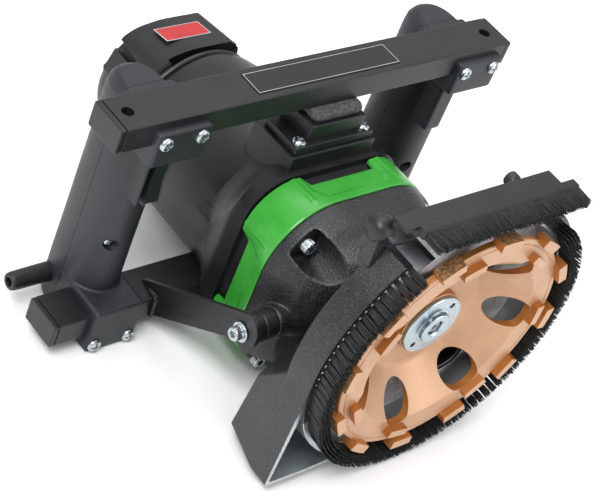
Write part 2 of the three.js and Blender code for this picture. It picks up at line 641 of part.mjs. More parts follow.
add('grip_left_front', leftFrontHalf(), BLACK_PLASTIC);
add('grip_left_rear', leftRearHalf(), BLACK_PLASTIC);
add('grip_right_front', rightFrontHalf(), BLACK_PLASTIC);
add('grip_right_rear', fromSolid(gripHalf(1, false)), BLACK_PLASTIC);
add('cord_sleeve', cordSleeve(), RUBBER);
add('trigger', trigger(), BLACK_PLASTIC);
add('trigger_spring', triggerSpring(), STEEL);
add('switch_body', switchBody(), BLACK_PLASTIC);
for (const [word, side] of [['left', -1], ['right', 1]]) {
  for (const [spot, dx] of [['outer', side], ['inner', -side]]) {
    const x = side * GRIP.offset + dx * CLAMP_SCREW.offset;
    add(`screw_upper_${word}_${spot}`, clampScrew(x, CLAMP_SCREW.upper), ZINC);
    add(`screw_lower_${word}_${spot}`, clampScrew(x, CLAMP_SCREW.lower), ZINC);
  }
}

add('damper', damper(), RUBBER);
add('pad_screw_left', padScrew(-1), ZINC);
add('pad_screw_right', padScrew(1), ZINC);

add('motor_housing', motorHousing(), BLACK_PLASTIC);
add('rear_cap', rearCap(), BLACK_PLASTIC);
add('stator', washer(40, 66, -240, -160, -MOTOR_DROP), STEEL);
add('armature', armature(), STEEL);
add('carbon_brush_left', block(-46, -18.4, -MOTOR_DROP - 5, -MOTOR_DROP + 5, -268, -254), CARBON);
add('carbon_brush_right', block(18.4, 46, -MOTOR_DROP - 5, -MOTOR_DROP + 5, -268, -254), CARBON);
add('motor_bearing_rear', washer(8.3, 17, -312, -300, -MOTOR_DROP, 24), STEEL);
add('motor_bearing_front', washer(8.3, 17, -62, -50, -MOTOR_DROP, 24), STEEL);
add('bearing_plate', bearingPlate(), STEEL);
add('motor_pinion',
  toothed(TEETH.pinion, TEETH.back, TEETH.front, 0.75, 5.3).translate(0, 0, -MOTOR_DROP), STEEL);

add('vent_ring', greenRing(), GREEN);
add('gear_housing', gearHousing(), CAST_BLACK);
add('spindle_gear', toothed(TEETH.wheel, TEETH.back + 1, TEETH.front - 1, 0.5, 10.3), STEEL);
add('spindle', spindle(), STEEL);
add('spindle_bearing_rear', washer(8.8, 17, -33, -24, 0, 24), STEEL);
add('spindle_bearing_front', washer(11.3, 20, 44, 58, 0, 24), STEEL);
for (const [word, sx] of [['left', -1], ['right', 1]]) {
  for (const [level, height] of [['upper', BOLT_SQUARE.up], ['lower', BOLT_SQUARE.down]]) {
    const x = sx * BOLT_SQUARE.x;
    add(`housing_bolt_${level}_${word}`, housingBolt(x, height - MOTOR_DROP), ZINC);
  }
}

add('dust_hood', hood(), CAST_BLACK);
add('dust_port', dustPort(), CAST_BLACK);
add('brush_ring', brushRing(), BRISTLE);
add('edge_flap', flap(), BLACK_PAINT);
add('edge_brush_holder', stripHolder(), BLACK_PLASTIC);
add('edge_bristles', stripBristles(), BRISTLE);
add('cup_wheel', cupWheel(), COPPER_PAINT);
add('flange_nut', flangeNut(), ZINC);

// The origin is under the middle of the machine, on the surface that it lies on.
const extent = { left: CORD_EXIT.end, right: TUBE.right, back: MOTOR.rear, front: WHEEL.tips };
machine.position.set(-(extent.left + extent.right) / 2, (extent.back + extent.front) / 2, REST_DROP);

const part = new THREE.Group();
part.add(machine);
export default part;
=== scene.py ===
import math

import bmesh
import bpy
import numpy as np
from mathutils import Matrix, Vector


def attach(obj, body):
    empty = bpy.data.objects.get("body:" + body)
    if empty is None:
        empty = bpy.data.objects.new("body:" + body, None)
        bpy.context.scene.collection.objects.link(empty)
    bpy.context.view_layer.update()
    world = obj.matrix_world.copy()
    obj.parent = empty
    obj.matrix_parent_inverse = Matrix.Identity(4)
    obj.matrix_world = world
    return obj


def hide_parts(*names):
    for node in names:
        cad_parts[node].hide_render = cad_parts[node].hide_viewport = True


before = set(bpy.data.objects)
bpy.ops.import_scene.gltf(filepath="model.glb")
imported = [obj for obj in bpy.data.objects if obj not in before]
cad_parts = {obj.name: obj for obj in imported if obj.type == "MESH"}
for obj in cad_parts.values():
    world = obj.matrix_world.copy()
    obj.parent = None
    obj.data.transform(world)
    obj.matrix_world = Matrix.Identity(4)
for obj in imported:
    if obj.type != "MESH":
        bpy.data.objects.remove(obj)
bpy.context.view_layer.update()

# A two-handed concrete grinder. Shapes are worked out in the machine's own directions, in
# millimetres: a to its right, b up and s forward along the spindle, from the spindle axis at
# the gearbox joint. place() turns them into the frame's metres.

rng = np.random.default_rng(7)

# Where a = b = s = 0 lies in the frame.
ORIGIN = (12.0, -102.5, 146.0)
# The motor's axis, and the (b, s) of the side bolts that hold the flat arms.
MOTOR_B = -48.0
MOTOR = (0.0, MOTOR_B, 0.0)
ARM_BOLT = (MOTOR_B, 6.5)
# Handle tubes: heights of their upper faces, and their faces and middle along s.
UPPER_TOP, LOWER_TOP = 117.5, -107.0
TUBE_BACK, TUBE_FRONT, TUBE_MIDDLE = -136.5, -96.5, -116.5
# Grips: distance of their axes from the middle, the planes their halves meet at, the front of
# their clamps, the height of their pocket screws and the (b, s) of the left grip's cable bore.
GRIP_A, GRIP_S, CLAMP_FRONT = 175.0, -150.0, -89.5
POCKET_B = -42
CORD = (-118, -168)
# Gearbox screws stand at a = -SCREW_A and SCREW_A, at these heights.
SCREW_A, SCREW_TOP, SCREW_LOW = 70, 20, -122
# The hood's flat top, the (a, b) of its dust port, and the (b, s) of the flap's hinge.
HOOD_CUT = 110.0
PORT_SPOT = (70, -76)
HINGE = (128, 75.5)
SIDES = (("left", -1), ("right", 1))
OUTWARD = {-1: "-a", 1: "a"}


def place(a, b, s):
    """x = a + 12, y = -(s + 102.5), z = b + 146, in millimetres, then in metres."""
    a, b, s = np.broadcast_arrays(a, b, s)
    return np.stack([a + ORIGIN[0], -s + ORIGIN[1], b + ORIGIN[2]], axis=-1) * 0.001


# ---- Grids of points, and the meshes made of them ----

def grid(points, around=True, loop=False, ends=False):
    """Quads of a (rows, columns) grid: each joins a point to its next column and next row.
    Columns meet when around, rows meet when loop; ends closes the first and last rows."""
    rows, cols = points.shape[:2]
    r = np.arange(rows if loop else rows - 1)[:, None]
    c = np.arange(cols if around else cols - 1)[None, :]
    corners = np.broadcast_arrays(r * cols + c, r * cols + (c + 1) % cols,
                                  (r + 1) % rows * cols + (c + 1) % cols, (r + 1) % rows * cols + c)
    faces = np.stack(corners, axis=-1).reshape(-1, 4).tolist()
    if ends:
        faces.append(list(range(cols)))
        faces.append(list(range((rows - 1) * cols, rows * cols)))
    return points.reshape(-1, 3), faces


def new_object(name, data):
    obj = bpy.data.objects.new(name, data)
    bpy.context.scene.collection.objects.link(obj)
    return obj


def shell(name, *chunks):
    """An object of (points, faces) chunks: doubles merge, and closed shells turn outwards."""
    points, faces, start = [], [], 0
    for chunk_points, chunk_faces in chunks:
        points.append(chunk_points)
        faces += [[i + start for i in face] for face in chunk_faces]
        start += len(chunk_points)
    mesh = bpy.data.meshes.new(name)
    mesh.from_pydata(np.concatenate(points).tolist(), [], faces)
    work = bmesh.new()
    work.from_mesh(mesh)
    bmesh.ops.remove_doubles(work, verts=work.verts, dist=2e-6)
    bmesh.ops.dissolve_degenerate(work, edges=work.edges, dist=1e-6)
    bmesh.ops.recalc_face_normals(work, faces=work.faces)
    work.to_mesh(mesh)
    work.free()
    return new_object(name, mesh)


def settle(obj):
    """The mesh becomes what its modifiers make of it."""
    graph = bpy.context.evaluated_depsgraph_get()
    mesh = bpy.data.meshes.new_from_object(obj.evaluated_get(graph))
    obj.modifiers.clear()
    obj.data = mesh


def carve(obj, *tools, how="DIFFERENCE"):
    """Takes each tool's solid from the object's, or adds it; the tools are used up."""
    for tool in tools:
        step = obj.modifiers.new("carve", "BOOLEAN")
        step.operation, step.object, step.solver = how, tool, "MANIFOLD"
    settle(obj)
    for tool in tools:
        bpy.data.objects.remove(tool)
    return obj


def melt(obj, voxel, passes):
    """One cast or moulded skin over overlapping solids, with its corners softened."""
    skin = obj.modifiers.new("skin", "REMESH")
    skin.mode, skin.voxel_size = "VOXEL", voxel * 0.001
    soft = obj.modifiers.new("soft", "SMOOTH")
    soft.factor, soft.iterations = 0.5, passes
    settle(obj)
    return obj


def edge(obj, width, segments=2, angle=32):
    """Small round edges, as deburring, paint or a mould gives."""
    step = obj.modifiers.new("edge", "BEVEL")
    step.width, step.segments, step.limit_method = width * 0.001, segments, "ANGLE"
    step.angle_limit, step.harden_normals = math.radians(angle), False
    settle(obj)
    return obj


def finish(obj, look, body="machine_frame", nodes=(), sharp=32):
    """Material, shading, the body it rides on and the frame pieces it stands for."""
    obj.data.materials.clear()
    obj.data.materials.append(look)
    obj.data.shade_smooth()
    obj.data.set_sharp_from_angle(angle=math.radians(sharp))
    flat = obj.modifiers.new("flat faces stay flat", "WEIGHTED_NORMAL")
    flat.keep_sharp, flat.weight = True, 90
    settle(obj)
    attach(obj, body)
    if nodes:
        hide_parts(*nodes)


def repaint(obj, look, chosen):
    """Gives another material to the faces that chosen(centre, normal) picks, in machine mm."""
    count = len(obj.data.polygons)
    centre, normal = np.empty(count * 3), np.empty(count * 3)
    obj.data.polygons.foreach_get("center", centre)
    obj.data.polygons.foreach_get("normal", normal)
    x, y, z = centre.reshape(-1, 3).T * 1000.0
    nx, ny, nz = normal.reshape(-1, 3).T
    index = np.empty(count, dtype=np.int32)
    obj.data.polygons.foreach_get("material_index", index)
    obj.data.materials.append(look)
    picked = chosen(np.stack([x - ORIGIN[0], z - ORIGIN[2], ORIGIN[1] - y]),
                    np.stack([nx, nz, -ny]))
    index[picked] = len(obj.data.materials) - 1
    obj.data.polygons.foreach_set("material_index", index)


# ---- Outlines and surfaces ----

def fillet(points, radius, steps=4):
    """Closed outline with each corner V turned into (1-t)^2 A + 2t(1-t) V + t^2 B, where A and B
    lie a radius before and after it, or nearly halfway along a short edge."""
    p = np.asarray(points, float)
    reach = np.broadcast_to(np.asarray(radius, float), (len(p),))[:, None]

    def toward(q):
        gap = q - p
        length = np.maximum(np.linalg.norm(gap, axis=1, keepdims=True), 1e-9)
        return p + gap / length * np.minimum(reach, length * 0.48)

    a, b = toward(np.roll(p, 1, 0)), toward(np.roll(p, -1, 0))
    t = np.linspace(0, 1, steps + 1)[:, None, None]
    curve = (1 - t) ** 2 * a + 2 * t * (1 - t) * p + t ** 2 * b
    return curve.transpose(1, 0, 2).reshape(-1, p.shape[1])


def box_outline(u0, u1, v0, v1, corner):
    return fillet([(u0, v0), (u1, v0), (u1, v1), (u0, v1)], corner)


def inset(outline, distance):
    """Each point moves inwards along the mean normal of its two edges."""
    ahead = np.roll(outline, -1, 0) - outline
    ahead = ahead / np.maximum(np.linalg.norm(ahead, axis=1, keepdims=True), 1e-9)
    mean = ahead + np.roll(ahead, 1, 0)
    turned = np.stack([-mean[:, 1], mean[:, 0]], axis=-1)
    return outline + turned / np.maximum(np.linalg.norm(turned, axis=1, keepdims=True),
                                         1e-9) * distance


PLANES = {"ab": place, "sb": lambda u, v, w: place(w, v, u), "as": lambda u, v, w: place(u, w, v)}


def slab(outline, lo, hi, round_edge, plane):
    """The outline carried from lo to hi across its plane; near both ends it pulls in by
    e(1 - sin t) at a height e(1 - cos t), a quarter circle of radius e."""
    t = np.linspace(0, math.pi / 2, 5)
    pull = round_edge * (1 - np.sin(t))
    rise = round_edge * (1 - np.cos(t))
    pulls = np.concatenate([pull, pull[::-1]])
    heights = np.concatenate([lo + rise, (hi - rise)[::-1]])
    rings = [PLANES[plane](*inset(outline, p).T, h) for p, h in zip(pulls, heights)]
    return grid(np.stack(rings), ends=True)


def ring_slab(outer, inner, lo, hi, plane):
    """A flat frame between two outlines of equal count."""
    rings = [PLANES[plane](*o.T, h) for o, h in ((outer, lo), (outer, hi), (inner, hi),
                                                 (inner, lo))]
    return grid(np.stack(rings), loop=True)


AXES = {"s": ((0, 0, 1), (1, 0, 0), (0, 1, 0)), "a": ((1, 0, 0), (0, 1, 0), (0, 0, 1)),
        "-a": ((-1, 0, 0), (0, 1, 0), (0, 0, -1)), "b": ((0, 1, 0), (0, 0, 1), (1, 0, 0))}


def about(centre, axis, radius, depth, t):
    """The point centre + depth*e + radius*(cos t * f + sin t * g), e being the axis."""
    e, f, g = (np.array(v, float) for v in AXES[axis])
    spot = (np.array(centre) + depth[..., None] * e
            + radius[..., None] * (np.cos(t)[None, :, None] * f + np.sin(t)[None, :, None] * g))
    return place(*np.moveaxis(spot, -1, 0))


def spin(profile, centre=(0.0, 0.0, 0.0), axis="s", sides=64, hexes=(), knurl=(), loop=False,
         turn=None):
    """Row (r, d) of the profile becomes a circle of radius r at depth d, or the arc between the
    two angles of turn. Rows in hexes follow a hexagon, r*cos 30 / cos(t mod 60 - 30); rows in
    knurl ripple."""
    p = np.asarray(profile, float)
    if turn is None:
        t = np.arange(sides) * 2 * math.pi / sides
    else:
        t = np.linspace(math.radians(turn[0]), math.radians(turn[1]), sides)
    r = np.repeat(p[:, :1], sides, axis=1)
    sector = math.pi / 3
    for row in hexes:
        r[row] *= math.cos(sector / 2) / np.cos(t % sector - sector / 2)
    for row in knurl:
        r[row] *= 1 + 0.025 * np.sign(np.sin(24 * t))
    points = about(centre, axis, r, p[:, 1:], t)
    if turn is None:
        return grid(points, loop=loop)
    return grid(points.transpose(1, 0, 2), ends=True)


def drill(centre, axis, radius, start, end, sides=40):
    """A cylinder to carve with, from start to end along its axis."""
    return shell("drill", spin([(0, start), (radius, start), (radius, end), (0, end)],
                               centre, axis, sides))


def rounded(profile, radius, steps=3):
    """Profile from axis to axis whose inner corners are rounded; its ends stay."""
    p = np.asarray(profile, float)
    curve = fillet(p, radius, steps)[steps + 1:-(steps + 1)]
    return np.concatenate([p[:1], curve, p[-1:]])


def round_square(half, corner, middle=MOTOR_B, steps=14):
    """Quarter circles of radius corner about the points (+-q, middle +- q), q = half - corner."""
    angle = (np.arange(4)[:, None] + np.linspace(0, 1, steps)[None, :]) * math.pi / 2
    sx = np.array([1, -1, -1, 1])[:, None] * (half - corner)
    sz = np.array([1, 1, -1, -1])[:, None] * (half - corner)
    x, z = sx + corner * np.cos(angle), middle + sz + corner * np.sin(angle)
    return np.stack([x.ravel(), z.ravel()], -1)


def loft(rings):
    """Skin through (outline, s) rings of equal count, closed at both ends."""
    return grid(np.stack([place(*outline.T, s) for outline, s in rings]), ends=True)


def bead(path, radius, across, ripple=0.0, waves=1.0, sides=10):
    """A round bead along a path in a plane across the a direction: each ring is
    p + r(u) (cos t * n + sin t * a), r(u) = radius (1 + ripple sin(2 pi waves u)), ends pinched."""
    p = np.asarray(path, float)
    gap = np.gradient(p, axis=0)
    n = np.stack([-gap[:, 1], gap[:, 0]], -1) / np.linalg.norm(gap, axis=1, keepdims=True)
    u = np.linspace(0, 1, len(p))
    pinch = np.sin(np.pi * np.clip(u, 0.03, 0.97)) ** 0.3
    r = radius * (1 + ripple * np.sin(2 * math.pi * waves * u)) * pinch
    t = np.arange(sides) * 2 * math.pi / sides
    s = p[:, :1] + (r * n[:, 0])[:, None] * np.cos(t)
    b = p[:, 1:] + (r * n[:, 1])[:, None] * np.cos(t)
    a = across + r[:, None] * np.sin(t)
    return grid(place(a, b, s), ends=True)


def path_through(points, count):
    """Evenly spaced points along a polyline."""
    p = np.asarray(points, float)
    reach = np.concatenate([[0], np.cumsum(np.linalg.norm(np.diff(p, axis=0), axis=1))])
    at = np.linspace(0, reach[-1], count)
    return np.stack([np.interp(at, reach, p[:, k]) for k in range(p.shape[1])], -1)


def strands(roots, tips, radius, splay):
    """Bristles as four-sided spikes: a ring of the given radius at the root, one of 0.9 of it at
    0.55 of the length and a blunt tip of 0.55 of it.
    roots and tips are (count, 3) in machine mm; splay is the random lean of each tip in mm."""
    count = len(roots)
    tips = tips + rng.normal(0, 1, (count, 3)) * np.array(splay)
    t = np.arange(4) * math.pi / 2
    along = (tips - roots) / np.linalg.norm(tips - roots, axis=1, keepdims=True)
    side = np.cross(along, np.array([0.31, 0.17, 0.93]) * np.ones((count, 3)))
    side = side / np.linalg.norm(side, axis=1, keepdims=True)
    other = np.cross(along, side)
    stops, widths = (0.0, 0.55, 1.0), (1.0, 0.9, 0.55)
    rings = []
    for stop, width in zip(stops, widths):
        middle = roots + (tips - roots) * stop
        ring = middle[:, None, :] + radius * width * (np.cos(t)[None, :, None] * side[:, None, :]
                                                      + np.sin(t)[None, :, None] * other[:, None,
                                                                                         :])
        rings.append(ring)
    spots = np.stack(rings, axis=1)
    points = place(*np.moveaxis(spots, -1, 0)).reshape(-1, 3)
    quad = np.array([[r * 4 + c, r * 4 + (c + 1) % 4, (r + 1) * 4 + (c + 1) % 4, (r + 1) * 4 + c]
                     for r in range(2) for c in range(4)] + [[3, 2, 1, 0], [8, 9, 10, 11]])
    faces = (np.arange(count)[:, None, None] * 12 + quad[None]).reshape(-1, 4)
    return points, faces.tolist()


# ---- Materials ----

def linear(colour):
    """sRGB hex to linear RGBA: ((c + 0.055) / 1.055)^2.4, or c / 12.92 near black."""
    c = np.array([int(colour[i:i + 2], 16) for i in (1, 3, 5)]) / 255.0
    return (*np.where(c <= 0.04045, c / 12.92, ((c + 0.055) / 1.055) ** 2.4), 1.0)


def feed(tree, node, inputs):
    """Gives a node's sockets their values, or links them to the outputs they take."""
    for key, value in inputs.items():
        if isinstance(value, bpy.types.NodeSocket):
            tree.links.new(value, node.inputs[key])
        else:
            node.inputs[key].default_value = value


def add(tree, kind, inputs=None, **settings):
    """Adds a node: settings are its properties, inputs what feed() gives it."""
    made = tree.nodes.new(kind)
    for key, value in settings.items():
        setattr(made, key, value)
    feed(tree, made, inputs or {})
    return made


def blank(name):
    """A material with its shader, its output and the piece's own coordinates."""
    look = bpy.data.materials.new(name)
    look.use_nodes = True
    tree = look.node_tree
    tree.nodes.clear()
    shader = add(tree, "ShaderNodeBsdfPrincipled")
    add(tree, "ShaderNodeOutputMaterial", {"Surface": shader.outputs[0]})
    spot = add(tree, "ShaderNodeTexCoord").outputs["Object"]
    return look, tree, shader, spot


def noise(tree, spot, size, detail=3.0, rough=0.5, stretch=None):
    """Noise whose blobs are size millimetres across, drawn out by stretch along each axis."""
    if stretch:
        spot = add(tree, "ShaderNodeMapping", {"Vector": spot, "Scale": stretch}).outputs[0]
    return add(tree, "ShaderNodeTexNoise", {"Vector": spot, "Scale": 1000.0 / size,
                                            "Detail": detail, "Roughness": rough}).outputs[0]


def ramp(tree, value, low, high, first, second):
    """A two-colour ramp from first at low to second at high."""
    made = add(tree, "ShaderNodeValToRGB", {"Fac": value})
    made.color_ramp.elements[0].position, made.color_ramp.elements[0].color = low, first
    made.color_ramp.elements[1].position, made.color_ramp.elements[1].color = high, second
    return made.outputs[0]


def bump(tree, height, strength, depth):
    """Surface relief, depth mm between its lows and highs."""
    return add(tree, "ShaderNodeBump", {"Height": height, "Strength": strength,
                                        "Distance": depth * 0.001}).outputs[0]


def mix(tree, factor, first, second):
    return add(tree, "ShaderNodeMix", {0: factor, 6: first, 7: second}, data_type="RGBA").outputs[2]


def spread(tree, value, low, high):
    """A noise value between 0.3 and 0.7 carried to the range from low to high."""
    return add(tree, "ShaderNodeMapRange", {"Value": value, "From Min": 0.3, "From Max": 0.7,
                                            "To Min": low, "To Max": high}).outputs[0]


BLACK, WHITE = (0, 0, 0, 1), (1, 1, 1, 1)


def grained(name, dark, light, roughness, grain, depth, metallic=0.0, coat=0.0, patch=30.0,
            painted_peak_highlight=None):
    """Base colour drifts between two shades over patches, and a grain of the given size in mm
    stands depth mm proud; the peak colour, when given, is a painted highlight laid on the raised
    points of the grain, where light would catch them."""
    look, tree, shader, spot = blank(name)
    drift = noise(tree, spot, patch, 4.0)
    colour = ramp(tree, drift, 0.35, 0.65, linear(dark), linear(light))
    fine = noise(tree, spot, grain, 2.0, 0.55)
    # Painted highlight: the grain's raised points are lightened towards the peak colour.
    if painted_peak_highlight:
        painted_highlight_mask = ramp(tree, fine, 0.52, 0.66, BLACK, WHITE)
        colour = mix(tree, painted_highlight_mask, colour, linear(painted_peak_highlight))
    feed(tree, shader, {"Base Color": colour, "Metallic": metallic,
                        "Roughness": spread(tree, drift, roughness - 0.05, roughness + 0.05),
                        "Normal": bump(tree, fine, 0.8, depth),
                        "Coat Weight": coat, "Coat Roughness": 0.12})
    return look


def turned_metal(name, dark, light, roughness, pitch, centre=None):
    """Lathe or brush marks: noise drawn out round the spindle axis, or along one direction,
    pitch mm apart; drawn coarser than real so that they show."""
    look, tree, shader, spot = blank(name)
    if centre:
        moved = add(tree, "ShaderNodeVectorMath", {0: spot, 1: centre},
                    operation="SUBTRACT").outputs[0]
        flat = add(tree, "ShaderNodeVectorMath", {0: moved, 1: (1, 0, 1)},
                   operation="MULTIPLY").outputs[0]
        radius = add(tree, "ShaderNodeVectorMath", {0: flat}, operation="LENGTH").outputs["Value"]
        marks = add(tree, "ShaderNodeTexNoise", {"W": radius, "Scale": 1000.0 / pitch,
                                                 "Detail": 2.0}, noise_dimensions="1D").outputs[0]
    else:
        marks = noise(tree, spot, pitch, 2.0, 0.5, (1, 0.12, 1))
    feed(tree, shader, {"Base Color": ramp(tree, marks, 0.3, 0.7, linear(dark), linear(light)),
                        "Roughness": spread(tree, marks, roughness - 0.07, roughness + 0.07),
                        "Normal": bump(tree, marks, 0.25, 0.08), "Metallic": 1.0})
    return look


def enamel():
    """Copper-coloured stove enamel sprayed on steel: satin, with a fine metallic flake. Faces that
    look along the spindle are painted paler and walls that stand along it darker and more orange:
    painted light and shade set by which way a face looks."""
    look, tree, shader, spot = blank("copper stove enamel")
    drift = noise(tree, spot, 22.0, 4.0)
    # Painted light and shade: a paler copy for faces looking along the spindle, a darker orange
    # copy for the walls.
    face = ramp(tree, drift, 0.35, 0.65, linear("#b58c6d"), linear("#bf9879"))
    wall = ramp(tree, drift, 0.35, 0.65, linear("#a4632a"), linear("#b47438"))
    normal = add(tree, "ShaderNodeNewGeometry").outputs["Normal"]
    along = add(tree, "ShaderNodeSeparateXYZ", {0: normal}).outputs["Y"]
    flatness = add(tree, "ShaderNodeMath", {0: along}, operation="ABSOLUTE").outputs[0]
    painted_light_mask = ramp(tree, flatness, 0.3, 0.75, BLACK, WHITE)
    flake = noise(tree, spot, 0.7, 1.0)
    feed(tree, shader, {"Base Color": mix(tree, painted_light_mask, wall, face), "Metallic": 0.35,
                        "Roughness": spread(tree, drift, 0.36, 0.46),
                        "Normal": bump(tree, flake, 0.35, 0.06)})
    return look


# Polyester powder coat, baked: semi-gloss black with a slight orange peel.
POWDER = grained("black powder coat", "#151618", "#1b1c1e", 0.42, 0.9, 0.08)
# Glass-filled nylon from a spark-eroded mould: dark grey, dull, finely grained.
NYLON = grained("black glass-filled nylon", "#1c1e22", "#23252a", 0.5, 0.5, 0.09)
# The same nylon from a smoother mould.
SMOOTH_NYLON = grained("smooth black nylon", "#131416", "#191a1d", 0.4, 0.7, 0.04)
# Coarse structure paint on cast aluminium: black and bumpy, with pale speckles painted on the
# crests of the bumps as highlights.
STRUCTURE = grained("black structure paint", "#121314", "#18191b", 0.36, 1.5, 0.6, painted_peak_highlight="#36393c")
# Polished ABS moulding in bright green.
GREEN = grained("glossy green ABS", "#2f8f2e", "#3a9b37", 0.3, 3.0, 0.02, coat=0.15)
# Bright zinc plate, passivated: a cool, slightly mottled metal.
ZINC = grained("bright zinc plate", "#a9b1b5", "#c9d1d5", 0.24, 1.2, 0.02, metallic=1.0, patch=4.0)
# Natural rubber cut from a block: dull, rough and dusty.
RUBBER = grained("rough black rubber", "#2f3031", "#555657", 0.9, 1.3, 0.8, patch=3.0)
SOFT_RUBBER = grained("smooth black rubber", "#101113", "#17181a", 0.5, 1.4, 0.04)
# Sand-cast aluminium left as it came from the sand, with a near-white painted highlight on the
# crests of its grain.
SAND_CAST = grained("sand-cast aluminium", "#b4b6b9", "#dcdee0", 0.6, 1.6, 0.6, patch=8.0,
                    painted_peak_highlight="#f2f3f4")
# The chute's inside, ground off and left bare; its dark grey is partly the bare metal's own tone
# and partly painted shade of the chute's hollow.
BARE_CAST = grained("ground cast aluminium", "#596062", "#757d7f", 0.5, 1.6, 0.2, patch=20.0)
# Ground diamond segment: bronze matrix with grit, brown and streaked.
GRIT = grained("bronze and diamond grit", "#5a3d22", "#a3794a", 0.6, 1.0, 0.3, metallic=0.2,
               patch=2.5)
# Crimped nylon bristle: black, with patches of paler grey painted in as highlights of shining
# filaments.
BRISTLE = grained("black nylon bristle", "#08090a", "#313434", 0.35, 2.0, 0.05, patch=1.5)
PLATE = grained("satin black plate", "#0d0e0f", "#121314", 0.4, 1.2, 0.02)
BORDER = grained("pale screen-printed border", "#9a9c9e", "#aeb0b2", 0.5, 1.0, 0.02)
LABEL = grained("red vinyl label", "#a81f24", "#b5272a", 0.35, 2.0, 0.02)
AXIS_SPOT = (ORIGIN[0] * 0.001, 0.0, ORIGIN[2] * 0.001)
MACHINED = turned_metal("faced aluminium", "#9fa4a9", "#cfd4d9", 0.3, 0.9, AXIS_SPOT)
TURNED_ZINC = turned_metal("zinc-plated turned steel", "#8fa0a8", "#c3d0d6", 0.26, 1.1, AXIS_SPOT)
GROUND = turned_metal("ground steel", "#7b7e82", "#a9acaf", 0.33, 0.7)
IRON = grained("laminated iron", "#5c5d5e", "#77787a", 0.45, 0.6, 0.05, metallic=1.0)
CARBON = grained("pressed carbon", "#202020", "#2c2c2c", 0.7, 0.5, 0.05)
ENAMEL = enamel()

# ---- Handle frame ----

def tube(name, top, nodes, holes=()):
    """A 40 x 25 mm tube along a, its long edges rounded, with drilled holes in its top face."""
    outline = box_outline(TUBE_BACK, TUBE_FRONT, top - 25, top, 1.8)
    obj = shell(name, slab(outline, -233.0, 210.0, 0.4, "sb"))
    if holes:
        carve(obj, *[drill((a, top, TUBE_MIDDLE), "b", 5.6, -9, 3, 32) for a in holes])
        edge(obj, 0.35)
    finish(obj, POWDER, nodes=nodes)


def tube_cap(name, top, a0, a1, nodes):
    """Push-in end cap, 0.15 mm smaller all round than the tube."""
    outline = box_outline(TUBE_BACK + 0.15, TUBE_FRONT - 0.15, top - 24.85, top - 0.15, 2.0)
    finish(shell(name, slab(outline, a0, a1, 1.1, "sb")), SMOOTH_NYLON, nodes=nodes)


tube("upper_handle_tube", UPPER_TOP, ["upper_tube"], (-220.0, 197.0))
tube("lower_handle_tube", LOWER_TOP, ["lower_tube"])
for level, top in (("upper", UPPER_TOP), ("lower", LOWER_TOP)):
    tube_cap(f"{level}_end_cap_left", top, -239.0, -233.5, [f"{level}_cap_left"])
    tube_cap(f"{level}_end_cap_right", top, 210.5, 216.0, [f"{level}_cap_right"])

plate = shell("blank_plate", slab(box_outline(-92, 75, -130, -103, 0.8), 117.5, 118.2, 0.1, "as"))
finish(plate, PLATE, nodes=["name_plate"])
border = ring_slab(box_outline(-91, 74, -129, -104, 0.6),
                   box_outline(-90.5, 73.5, -128.5, -104.5, 0.4), 118.0, 118.35, "as")
finish(shell("plate_border", border), BORDER)

ARM = fillet([(-1.5, -64), (24.5, -50), (24.5, -38), (20, -30), (8.5, -26), (-119, -103.9),
              (-119, -106.9), (-96.3, -106.9), (-96.3, -128)], [3, 2, 2, 3, 4, 1, 1, 1, 1])
for word, side in SIDES:
    near, far = sorted((side * 125.0, side * 130.0))
    arm = carve(shell(f"flat_arm_{word}", slab(ARM, near, far, 0.5, "sb")),
                drill((side * 128, *ARM_BOLT), "a", 4.3, -20, 20, 32))
    finish(arm, POWDER, nodes=[f"arm_{word}"])
    for face, which in ((side * 130.2, "outer"), (side * 124.8, "inner")):
        route = path_through([(-107, -105.2), (-97.5, -105.4), (-94.6, -108.5), (-94.3, -118),
                              (-95, -129)], 90)
        weld = shell(f"weld_{word}_{which}", bead(route, 2.9, face, 0.16, 11))
        finish(weld, POWDER)


def socket_screw(name, centre, axis, washer, nodes):
    """Hexagon socket head screw: knurled head 13 mm across and 8 high, 6 mm socket."""
    rows = [(0, -11.0), (4.0, -11.0), (4.0, 0.2), (6.3, 0.2), (6.55, 0.5), (6.55, 6.9), (6.1, 7.7),
            (5.6, 8.0), (3.75, 8.0), (3.45, 7.7), (3.45, 3.6), (0, 3.3)]
    chunks = [spin(rows, centre, axis, 96, hexes=(9, 10), knurl=(4, 5))]
    if washer:
        ring = [(4.3, -1.6), (4.3, 0), (8.9, 0), (9.4, -0.4), (9.4, -1.2), (8.9, -1.6)]
        chunks.append(spin(ring, centre, axis, 64, loop=True))
    finish(shell(name, *chunks), ZINC, nodes=nodes, sharp=28)


def pan_screw(name, centre, axis, radius, height, nodes):
    """Cross-recessed pan head: height h(r) = H (1 - (r/R)^3.2)^0.5, sunk where a cross arm passes,
    |x| or |y| < 0.13 R inside 0.62 R, to a point in the middle."""
    r = np.concatenate([np.linspace(0, 0.7, 15), np.linspace(0.74, 1.0, 8)])
    t = np.arange(96) * 2 * math.pi / 96
    x, y = r[:, None] * np.cos(t), r[:, None] * np.sin(t)
    dome = height * np.sqrt(np.clip(1 - r ** 3.2, 0, 1))[:, None] * np.ones_like(x)
    arm = (np.minimum(abs(x), abs(y)) < 0.13) & (r[:, None] < 0.62)
    dome = dome - np.where(arm, height * 0.75 * (1.05 - r[:, None] / 0.75), 0)
    shank = np.repeat([[-0.4], [-0.4], [-5.0], [-5.0]], 96, axis=1)
    reach = np.concatenate([r, [1.0, 0.4, 0.4, 0.0]]) * radius
    points = about(centre, axis, reach[:, None], np.concatenate([dome, shank]), t)
    finish(shell(name, grid(points)), ZINC, nodes=nodes, sharp=40)


